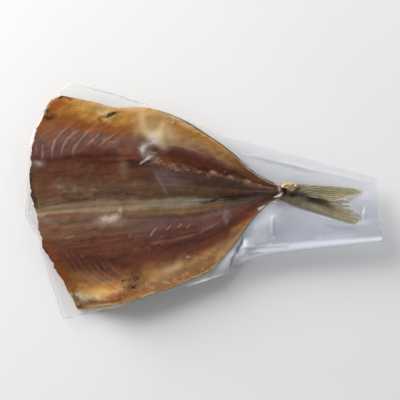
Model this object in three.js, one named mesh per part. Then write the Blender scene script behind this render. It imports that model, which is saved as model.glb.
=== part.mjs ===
// Soy-dried horse mackerel, beheaded, split along the belly and opened flat, sealed in a clear film bag.
// The bag is one closed solid: the film drawn down over the flesh side above and the skin side below.
// Millimetres, +Z up, +X towards the tail. The origin is the middle of the bag's footprint, at its lowest point.

import * as THREE from "three";
import { ParametricGeometry } from "three/addons/geometries/ParametricGeometry.js";
import { mergeGeometries, mergeVertices } from "three/addons/utils/BufferGeometryUtils.js";

// Overall size of the bag
const BAG_LENGTH = 196.4;
const BAG_WIDTH = 131.4;
const FILM_THICKNESS = 0.7; // both layers and the air between them

// Outline of the opened fish, as [x, y] along its length
const UPPER_EDGE = [
  [-78, 57.2],
  [-61, 53.4],
  [-46, 50.3],
  [-34, 50.8],
  [-24, 48.7],
  [-10, 43.2],
  [1, 36.3],
  [17, 24.8],
  [32, 11.6],
  [42, 8.4],
  [47, 9.5],
  [56, 7.7],
  [88, 4.1],
];
const LOWER_EDGE = [
  [-69, -60.2],
  [-46, -56.7],
  [-27, -50],
  [-10, -43.7],
  [3, -38.2],
  [10, -30.8],
  [19, -19.8],
  [28, -7.7],
  [36, -1.2],
  [42, 0.2],
  [50, -2.8],
  [82, -12.7],
];
const MIDLINE = [
  [-92, -7.2],
  [-68, -5],
  [-40, -3],
  [-2, -1.7],
  [20, 0.6],
  [36, 3.8],
  [44, 4.6],
  [70, -0.8],
  [80, -2.8],
];

// Head cut and tail fin's trailing edge, as [v, x]: v runs from -1 at the lower edge to 1 at the upper edge
const HEAD_CUT = [
  [-1, -69],
  [-0.78, -74.5],
  [-0.49, -83.3],
  [-0.28, -88.3],
  [0, -91.6],
  [0.33, -95.4],
  [0.67, -92.1],
  [0.84, -88.3],
  [0.96, -82.8],
  [1, -78],
];
const TAIL_END = [
  [-1, 82],
  [-0.75, 86],
  [-0.1, 78.5],
  [0.1, 78.5],
  [1, 87.7],
];

// Stretches of x over which one form runs into the next
const PEDUNCLE_X = 42; // narrowest place, ahead of the tail fin
const TO_PEDUNCLE = [18, PEDUNCLE_X - 2];
const TO_FIN = [PEDUNCLE_X + 1, PEDUNCLE_X + 16];
const CURL_FADES = [5, PEDUNCLE_X];
const TAIL_RISES = [28, 85];
const FOLDS_RISE = [22, 44];

// Thickness of the flesh, as [share of the half width out from the midline, thickness]
const FLESH_THICKNESS = [
  [0, 5.6],
  [0.08, 6.4],
  [0.2, 8.6],
  [0.36, 9.6],
  [0.46, 8.9],
  [0.54, 7],
  [0.7, 5.6],
  [0.85, 4],
  [0.95, 2.8],
  [1, 1.8],
];
const FLESH_TAPER = [
  [-96, 0.92],
  [-60, 1],
  [0, 0.96],
  [25, 0.8],
  [PEDUNCLE_X, 0.62],
];
const PEDUNCLE_THICKNESS = 6.2;
const PEDUNCLE_ROUNDING = 0.85;
const FIN_THICKNESS = 1.4;
const RAY_HEIGHT = 0.6;
const RAYS = 13;

// How the dried fish curls up off the surface that it lies on
const FLAT_SHARE = 0.3; // of each half's width, beside the midline
const UPPER_CURL = 6;
const LOWER_CURL = 8.5;
const CURL_POWER = 1.6;
const TAIL_LIFT = 4;

// Free film round the fish
const UPPER_RIM = [
  [-72, BAG_WIDTH / 2],
  [-21, 49.4],
  [-8, 43.8],
  [3, 38.2],
  [53, 23.7],
  [95, 12.1],
];
const LOWER_RIM = [
  [-77, -BAG_WIDTH / 2],
  [-56, -60.6],
  [-26, -52.2],
  [0, -44.6],
  [15, -39.4],
  [31, -31.2],
  [54, -27.6],
  [BAG_LENGTH / 2, -22.6],
];
const LEFT_MARGIN = [
  [-1, -10],
  [-0.63, -6],
  [-0.28, -2],
  [-0.12, -5],
  [0, 91.6 - BAG_LENGTH / 2],
  [0.15, -3],
  [0.45, -1.7],
  [0.67, -2.4],
  [1, -1.5],
];
const CORNER_SPREAD = 2.2; // how far the end margin turns outwards beside a corner
const CORNER_START = 0.9; // v past which it turns
const RIM_INSET = 6; // from a corner to where the fish's own rows and columns meet the rim
const RIM_HEIGHT = 1.2;
const RIM_FOLLOW = 0.55; // share of the fish's lift that the rim keeps
const DRAPE = 1.8; // how soon the film falls from the fish's edge to its own level
const DRAPE_SHARE = 0.25; // of the margin, where that is narrow

// Two folds along the tail's envelope: place and spread as shares of the margin
const ROLLED_EDGE = { middle: 0.8, spread: 0.16, height: 2.2 };
const UPPER_CREASE = { middle: 0.5, spread: 0.16, height: 0.9 };

// Grid of the bag: columns and rows over the fish, and the shares of each margin at which the film's own lie
const FISH_COLUMNS = 66;
const FISH_ROWS = 2 * RAYS;
const HEAD_FILM = [0.25, 0.6, 1];
const TAIL_FILM = [0.2, 0.6, 1];
const UPPER_FILM = [0.06, 0.3, 0.55, 1];
const LOWER_FILM = [0.06, 0.3, 0.6, 0.8, 1];
const COLUMNS = HEAD_FILM.length + FISH_COLUMNS + TAIL_FILM.length;
const ROWS = LOWER_FILM.length + FISH_ROWS + UPPER_FILM.length;

const { clamp, lerp, smoothstep } = THREE.MathUtils;

// Function of one number whose smooth curve passes through the given points and doesn't overshoot them.
function curveThrough(points) {
  const secant = points.slice(1).map(([x, y], i) => (y - points[i][1]) / (x - points[i][0]));
  const slope = points.map((_, i) => {
    if (i === 0 || i === secant.length) return secant[Math.min(i, secant.length - 1)];
    const [before, after] = [secant[i - 1], secant[i]];
    return before * after > 0 ? (2 * before * after) / (before + after) : 0;
  });
  return (at) => {
    const next = points.findIndex(([x]) => x > at);
    if (next === 0) return points[0][1];
    if (next < 0) return points.at(-1)[1];
    const [[x0, y0], [x1, y1]] = [points[next - 1], points[next]];
    const width = x1 - x0;
    const s = (at - x0) / width;
    return (
      y0 * (1 + 2 * s) * (1 - s) ** 2 +
      y1 * s * s * (3 - 2 * s) +
      width * s * (1 - s) * (slope[next - 1] * (1 - s) - slope[next] * s)
    );
  };
}

const upperEdge = curveThrough(UPPER_EDGE);
const lowerEdge = curveThrough(LOWER_EDGE);
const midline = curveThrough(MIDLINE);
const headCut = curveThrough(HEAD_CUT);
const tailEnd = curveThrough(TAIL_END);
const fleshThickness = curveThrough(FLESH_THICKNESS);
const fleshTaper = curveThrough(FLESH_TAPER);
const upperRim = curveThrough(UPPER_RIM);
const lowerRim = curveThrough(LOWER_RIM);
const leftMargin = curveThrough(LEFT_MARGIN);

const UPPER_LEFT = new THREE.Vector2(...UPPER_RIM[0]);
const UPPER_RIGHT = new THREE.Vector2(...UPPER_RIM.at(-1));
const LOWER_LEFT = new THREE.Vector2(...LOWER_RIM[0]);
const LOWER_RIGHT = new THREE.Vector2(...LOWER_RIM.at(-1));

// Point of the fish's plan at t, from head cut to tail, and v, from lower to upper edge.
function fishPlan(t, v) {
  const x = lerp(headCut(v), tailEnd(v), t);
  const edge = v < 0 ? lowerEdge(x) : upperEdge(x);
  return new THREE.Vector2(x, lerp(midline(x), edge, Math.abs(v)));
}

// Rim of the bag beside the fish's upper or lower edge.
function longRim(t, upper) {
  const [first, last] = upper ? [UPPER_LEFT.x, UPPER_RIGHT.x] : [LOWER_LEFT.x, LOWER_RIGHT.x];
  const x = lerp(first + RIM_INSET, last - RIM_INSET, t);
  return new THREE.Vector2(x, upper ? upperRim(x) : lowerRim(x));
}

// Rim of the bag beyond the head cut or beyond the tail.
function endRim(v, tail) {
  if (tail) {
    const low = RIM_INSET / (UPPER_RIGHT.y - LOWER_RIGHT.y);
    return LOWER_RIGHT.clone().lerp(UPPER_RIGHT, lerp(low, 1 - low, (v + 1) / 2));
  }
  const turn = Math.sign(v) * smoothstep(Math.abs(v), CORNER_START, 1) * CORNER_SPREAD;
  return fishPlan(0, v).add(new THREE.Vector2(leftMargin(v), turn));
}

// Place of a column or row on the fish, 0 to 1, and the share of the film's margin that lies between.
function placeOf(count, before, fish, after) {
  const past = count - before.length - fish;
  if (count < before.length) return [0, before[before.length - 1 - count]];
  return past > 0 ? [1, after[past - 1]] : [(count - before.length) / fish, 0];
}

// Where a point of the grid lies: its plan, the fish's nearest place and the margin's share outside that.
function gridPlace(u, w) {
  const [t, a] = placeOf(Math.round(u * COLUMNS), HEAD_FILM, FISH_COLUMNS, TAIL_FILM);
  const [across, b] = placeOf(Math.round(w * ROWS), LOWER_FILM, FISH_ROWS, UPPER_FILM);
  const v = lerp(-1, 1, across);
  const tail = t > 0.5;
  const upper = v > 0;
  const fish = fishPlan(t, v);
  const plan = fish.clone();
  const end = endRim(v, tail).sub(fish);
  const long = longRim(t, upper).sub(fish);
  plan.addScaledVector(end, a).addScaledVector(long, b);
  if (a > 0 && b > 0) {
    const corner = upper ? (tail ? UPPER_RIGHT : UPPER_LEFT) : tail ? LOWER_RIGHT : LOWER_LEFT;
    plan.addScaledVector(corner.clone().sub(fish).sub(end).sub(long), a * b);
  }
  const margin = Math.max(a > 0 ? end.length() : 0, b > 0 ? long.length() : 0);
  return { plan, fish, v, upper, b, share: Math.max(a, b), margin };
}

// Height of the skin side above the surface below.
function liftAt(x, v) {
  const out = clamp((Math.abs(v) - FLAT_SHARE) / (1 - FLAT_SHARE), 0, 1);
  const curl = (v < 0 ? LOWER_CURL : UPPER_CURL) * out ** CURL_POWER;
  const body = 1 - smoothstep(x, ...CURL_FADES);
  return curl * body + TAIL_LIFT * smoothstep(x, ...TAIL_RISES);
}

// Thickness of the fish: two fillets, the round peduncle and the rays of the tail fin.
function thicknessAt(x, v) {
  const fillet = fleshThickness(Math.abs(v)) * fleshTaper(x);
  const peduncle = PEDUNCLE_THICKNESS * Math.sqrt(1 - PEDUNCLE_ROUNDING * v * v);
  const ray = 0.5 + 0.5 * Math.cos(Math.PI * RAYS * (v + 1));
  const fin = FIN_THICKNESS + RAY_HEIGHT * ray;
  const body = lerp(fillet, peduncle, smoothstep(x, ...TO_PEDUNCLE));
  return lerp(body, fin, smoothstep(x, ...TO_FIN));
}

// Height of a fold that runs along a margin of the tail's envelope.
function foldHeight(fold, x, b) {
  const across = (b - fold.middle) / fold.spread;
  return fold.height * Math.exp(-across * across) * smoothstep(x, ...FOLDS_RISE);
}

// Heights of the lower and upper film at a place of the grid.
function filmHeights({ plan, fish, v, upper, b, share, margin }) {
  const lift = liftAt(fish.x, v);
  const half = thicknessAt(fish.x, v) / 2;
  if (share === 0) return [lift, lift + 2 * half];
  const level = lerp(lift + FILM_THICKNESS, RIM_HEIGHT + RIM_FOLLOW * lift, smoothstep(share, 0, 1));
  const fall = Math.exp(-(share * margin) / Math.min(DRAPE, margin * DRAPE_SHARE));
  const middle = lerp(level, lift + half, fall);
  const gap = lerp(FILM_THICKNESS / 2, half, fall);
  const fold = b > 0 ? foldHeight(upper ? UPPER_CREASE : ROLLED_EDGE, plan.x, b) : 0;
  return [middle - gap, middle + gap + fold];
}

// Surface of the upper or the lower film over the whole grid.
function filmSurface(top) {
  return (u, w, target) => {
    const place = gridPlace(u, w);
    target.set(place.plan.x, place.plan.y, filmHeights(place)[top ? 1 : 0]);
  };
}

// Wall between the two films along one side of the grid; at(s) gives the side's place on the grid.
function rimWall(at) {
  return (s, k, target) => {
    const place = gridPlace(...at(s));
    target.set(place.plan.x, place.plan.y, filmHeights(place)[k > 0.5 ? 1 : 0]);
  };
}

// Turns a surface's triangles to face the other way.
function turned(geometry) {
  const index = geometry.index.array;
  for (let i = 0; i < index.length; i += 3) [index[i], index[i + 1]] = [index[i + 1], index[i]];
  return geometry;
}

// Closed film bag: two films and the four sides of the rim.
function bagGeometry() {
  const parts = [
    new ParametricGeometry(filmSurface(true), COLUMNS, ROWS),
    turned(new ParametricGeometry(filmSurface(false), COLUMNS, ROWS)),
    new ParametricGeometry(rimWall((s) => [s, 0]), COLUMNS, 1),
    turned(new ParametricGeometry(rimWall((s) => [s, 1]), COLUMNS, 1)),
    turned(new ParametricGeometry(rimWall((s) => [0, s]), ROWS, 1)),
    new ParametricGeometry(rimWall((s) => [1, s]), ROWS, 1),
  ];
  const joined = mergeGeometries(parts);
  joined.deleteAttribute("normal");
  joined.deleteAttribute("uv");
  const closed = mergeVertices(joined);
  closed.computeVertexNormals();
  return closed;
}

// Soy-cured flesh seen through glossy film
const packedFlesh = new THREE.MeshStandardMaterial({ color: 0x7a5540, roughness: 0.3, metalness: 0 });

const sealedBag = new THREE.Mesh(bagGeometry(), packedFlesh);
sealedBag.name = "sealed_bag";

const packedFish = new THREE.Group();
packedFish.add(sealedBag);

export default packedFish;
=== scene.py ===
"""Soy-dried horse mackerel, beheaded, split along the belly, opened flat and sealed in a clear film bag.

The file is laid out as an add-on: sizes and colours are properties, each piece is an operator, and a panel
in the sidebar lists them. Shape functions work in millimetres, in the frame's own axes: +X towards the
tail, +Y across the opened fish, +Z up. On the fish, t runs from the head cut to the tail, and v from -1 at
the lower belly edge through 0 at the midline to 1 at the upper belly edge.
"""

import math

import bpy
import numpy as np
from bpy.props import FloatProperty, FloatVectorProperty, IntProperty, PointerProperty
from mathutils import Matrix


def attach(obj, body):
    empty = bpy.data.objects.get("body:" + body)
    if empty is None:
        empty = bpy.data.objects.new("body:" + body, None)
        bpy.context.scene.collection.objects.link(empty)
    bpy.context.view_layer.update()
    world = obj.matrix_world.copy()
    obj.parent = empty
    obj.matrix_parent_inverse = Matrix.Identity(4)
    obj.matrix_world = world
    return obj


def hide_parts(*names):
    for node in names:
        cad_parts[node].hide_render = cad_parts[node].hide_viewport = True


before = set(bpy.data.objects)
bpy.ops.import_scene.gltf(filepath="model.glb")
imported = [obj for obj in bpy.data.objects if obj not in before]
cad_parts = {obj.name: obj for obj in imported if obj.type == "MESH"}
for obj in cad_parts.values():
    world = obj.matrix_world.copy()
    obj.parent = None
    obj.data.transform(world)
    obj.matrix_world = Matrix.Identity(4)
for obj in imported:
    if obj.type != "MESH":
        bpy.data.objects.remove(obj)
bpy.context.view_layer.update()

bl_info = {
    "name": "Packed Horse Mackerel",
    "version": (1, 0, 0),
    "blender": (4, 5, 0),
    "location": "View3D > Sidebar > Packed Fish",
    "description": "Builds an opened, soy-dried horse mackerel sealed in a clear film bag",
    "category": "Add Mesh",
}

NODE = "sealed_bag"
MM = 0.001
WHITE = (1, 1, 1, 1)

# A Mix node's sockets for colours are known by number, because their names repeat for other kinds of value
SHARE, FROM, TO = 0, 6, 7

# Cells along each side of the table that a smooth random field is read from
NOISE_CELLS = 256

# Outline of the opened fish: belly edges and midline as (x, y), head cut and tail's end as (v, x), then x of
# the tail root, of where the flesh rounds off and of its end
UPPER_EDGE = [
    (-78, 57.4), (-61, 54), (-46, 50.7), (-34, 50.9), (-24, 49), (-10, 43.5), (1, 36.7),
    (17, 25.4), (24, 19), (30, 14.2), (36, 10.8), (42, 8.9), (47, 9.5), (56, 7.9), (88, 4.7),
]
LOWER_EDGE = [
    (-69, -60.5), (-46, -56.7), (-27, -51.5), (-10, -44.8), (3, -39), (10, -32), (19, -21.2), (25, -13.2),
    (30, -7), (36, -2.2), (42, -0.2), (50, -3.6), (82, -13),
]
MIDLINE = [
    (-92, -7.2), (-68, -5), (-40, -3), (-2, -1.7), (20, 0.6), (36, 3.8), (44, 4.6), (70, -0.8), (80, -2.8),
]
HEAD_CUT = [
    (-1, -68.9), (-0.73, -76.9), (-0.47, -84.4), (-0.36, -88), (-0.27, -88.4), (-0.13, -90.8), (0, -91.8),
    (0.13, -94.3), (0.3, -95.2), (0.43, -94.5), (0.54, -94.1), (0.62, -93), (0.78, -89.5), (0.92, -84.8),
    (0.97, -82.2), (1, -78),
]
TAIL_END = [(-1, 82), (-0.75, 86), (-0.1, 78.5), (0.1, 78.5), (1, 87.7)]
PEDUNCLE_X = 42
ROUNDING_X = 37
FLESH_END = 46

# Thickness of the flesh as shares of its greatest, outwards from the midline and along the fish
FLESH_ACROSS = [
    (0, 0.6), (0.08, 0.69), (0.2, 0.91), (0.36, 1), (0.46, 0.95), (0.56, 0.81), (0.7, 0.61),
    (0.85, 0.42), (0.95, 0.29), (1, 0.19),
]
FLESH_ALONG = [(-96, 0.92), (-60, 1), (0, 0.96), (25, 0.8), (PEDUNCLE_X, 0.62)]

# Where along the fish its form changes: fillets to round tail root, root to fin, belly edges flat again,
# tail up, and lower belly edge up behind the front corner
TO_PEDUNCLE = (6, PEDUNCLE_X - 2)
TO_FIN = (PEDUNCLE_X + 1, PEDUNCLE_X + 16)
CURL_FADES = (5, PEDUNCLE_X)
TAIL_RISES = (28, 85)
CORNER_EASES = (-67, -46)

# Rim of the bag: long sides as (x, y), left margin beside the head cut as (v, dx), and how far its corners
# are spread, over which v, in how many steps
UPPER_RIM = [(-72, 65.7), (-21, 49.4), (-8, 43.8), (3, 38.2), (53, 23.7), (95, 12.1)]
LOWER_RIM = [
    (-77, -65.7), (-56, -60.6), (-26, -52.2), (0, -44.6), (15, -39.4), (31, -31.2), (54, -27.6),
    (98.2, -22.6),
]
LEFT_MARGIN = [
    (-1, -10), (-0.63, -6), (-0.28, -2), (-0.12, -5), (0, -6.6), (0.15, -3), (0.45, -1.7),
    (0.67, -2.4), (1, -1.5),
]
CORNER_SPREAD = 2.2
CORNER_TURNS = (0.9, 1)
RIM_STEPS = 81

# Film beside the head cut: it clings to the fish over a short way, and further on it is drawn tight
CLING_FROM = 0.8
CLING_OVER = 1.1
CLING_FADES = (-40, -10)

# Grids of the closed sheets: columns and rows of the upper and the lower side
FLESH_GRIDS = ((380, 240), (95, 60))
SKIN_GRIDS = ((200, 100), (200, 100))
FILM_GRIDS = ((330, 222), (110, 74))
MEMBRANE_GRIDS = ((44, 44), (22, 22))
RAY_GRIDS = ((40, 6), (40, 6))

# Zones of the flesh from the midline out to the belly edge, as (share of the half width, colour's name),
# at the front, in the middle and at the rear of each half
UPPER_ZONES = (
    [
        (0, "spine"), (0.04, "spine"), (0.08, "tan_muscle"), (0.19, "tan_muscle"), (0.28, "brown_muscle"),
        (0.38, "brown_muscle"), (0.46, "dark_seam"), (0.53, "wine_flesh"), (0.63, "rib_flesh"),
        (0.68, "rib_flesh"), (0.75, "amber"), (0.81, "amber"), (0.87, "deep_gold"), (0.95, "deep_gold"),
        (0.99, "belly_gold"),
    ],
    [
        (0, "grey_spine"), (0.04, "grey_spine"), (0.08, "olive_muscle"), (0.2, "olive_muscle"),
        (0.28, "umber"), (0.4, "umber"), (0.46, "brown_muscle"), (0.51, "dark_seam"), (0.57, "dark_seam"),
        (0.62, "wine_flesh"), (0.69, "rib_flesh"), (0.76, "pale_gold"), (0.83, "pale_gold"),
        (0.89, "deep_gold"), (0.96, "deep_gold"),
    ],
    [
        (0, "umber"), (0.08, "umber"), (0.2, "mauve_flesh_and_sheen"), (0.33, "umber"), (0.42, "olive_muscle"),
        (0.5, "olive_muscle"), (0.56, "dark_seam"), (0.68, "brown_muscle"), (0.89, "brown_muscle"),
        (0.97, "fat"),
    ],
)
LOWER_ZONES = (
    [
        (0, "spine"), (0.02, "spine"), (0.05, "tan_muscle"), (0.09, "olive_muscle"), (0.13, "umber"),
        (0.2, "olive_muscle"), (0.25, "olive_muscle"), (0.31, "brown_muscle"), (0.45, "wine_flesh"),
        (0.54, "brown_muscle"), (0.6, "brown_muscle"), (0.66, "amber"), (0.72, "dull_gold"),
        (0.8, "deep_gold"), (0.86, "cream"), (0.95, "pale_gold"),
    ],
    [
        (0, "olive_muscle"), (0.08, "olive_muscle"), (0.13, "umber"), (0.19, "mauve_flesh_and_sheen"),
        (0.25, "mauve_flesh_and_sheen"), (0.32, "red_flesh"), (0.52, "red_flesh"), (0.57, "wine_flesh"),
        (0.61, "wine_flesh"), (0.78, "dull_gold"), (0.97, "dull_gold"),
    ],
    [
        (0, "umber"), (0.16, "umber"), (0.26, "red_flesh"), (0.42, "red_flesh"), (0.53, "rosy_flesh"),
        (0.62, "rosy_flesh"), (0.73, "coral"), (0.82, "coral"), (0.88, "peach"), (0.97, "cream"),
    ],
)

# Where along the fish the middle and the rear zones start, and tints of the clouds that the cure leaves
MIDDLE_STARTS = (-45, -10)
REAR_STARTS = (11, 25)
COOL_CLOUD = (0.92, 0.99, 1.1)
WARM_CLOUD = (1.08, 1.0, 0.9)

# How far zones drift and are streaked by fibres, as shares of the half width, and how torn the scraps are
ZONE_DRIFT = 0.2
FIBRE_STREAK = 0.08
TORN_EDGE = 1.6

# Run of the flow map along the fish: where it starts and how long it is
FLOW_START = -100
FLOW_LENGTH = 200

# Patterns on that map, whose width is the fish's, about 115 mm at the front. As repeats: muscle fibres 22 mm
# long and 2.5 mm apart, walls between flakes 33 mm long and 3 mm apart in each half. As shares of the map:
# belly fibres 10 mm long and 2 mm apart, turned to run across the fish
MUSCLE_GRAIN = (9, 46, 1)
FLAKE_GRAIN = (6, 20, 1)
BELLY_GRAIN = (0.12, 0.0105, 1)
BELLY_TURN = (0, 0, 1.255)

# Mirror of the film: its share straight on, what a grazing view adds and how steeply, what a second layer
# adds, and its colour and roughness
MIRROR_SHARE = 0.012
GRAZING_SHARE = 0.45
GRAZING_POWER = 5.0
SECOND_MIRROR = 0.4
MIRROR_COLOUR = (0.75, 0.75, 0.75, 1)
MIRROR_ROUGHNESS = 0.09

# Edges of the flesh: how ragged the head cut is, how far the belly edges are drawn in, and where along the
# fish they are pale or frilled, as where that comes and where it goes
RAGGED_SHARE = 0.025
EDGE_INSET = (0.15, 0.75)
INSET_GROWS = (-22, -4)
UPPER_PALE = ((-40, -20), (36, 41))
UPPER_PALE_NARROWS = (2, 18)
LOWER_PALE = ((-26, -8), (26, 34))
FRILL = ((-42, -30), (-10, 0))
FRILL_WIDTH = 3.2

# Random bumps of the flesh and of the film, as (height, length, width)
FLESH_BUMPS = [(0.2, 8, 5), (0.1, 3, 2.2)]
FILM_BUMPS = [(0.12, 9, 7), (0.05, 4, 4)]

# Dark rim of the skin past the upper belly edge: how wide it is, and where it comes
SKIN_RIM = (0.35, 0.75)
SKIN_RIM_COMES = (-24, -6)

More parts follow.
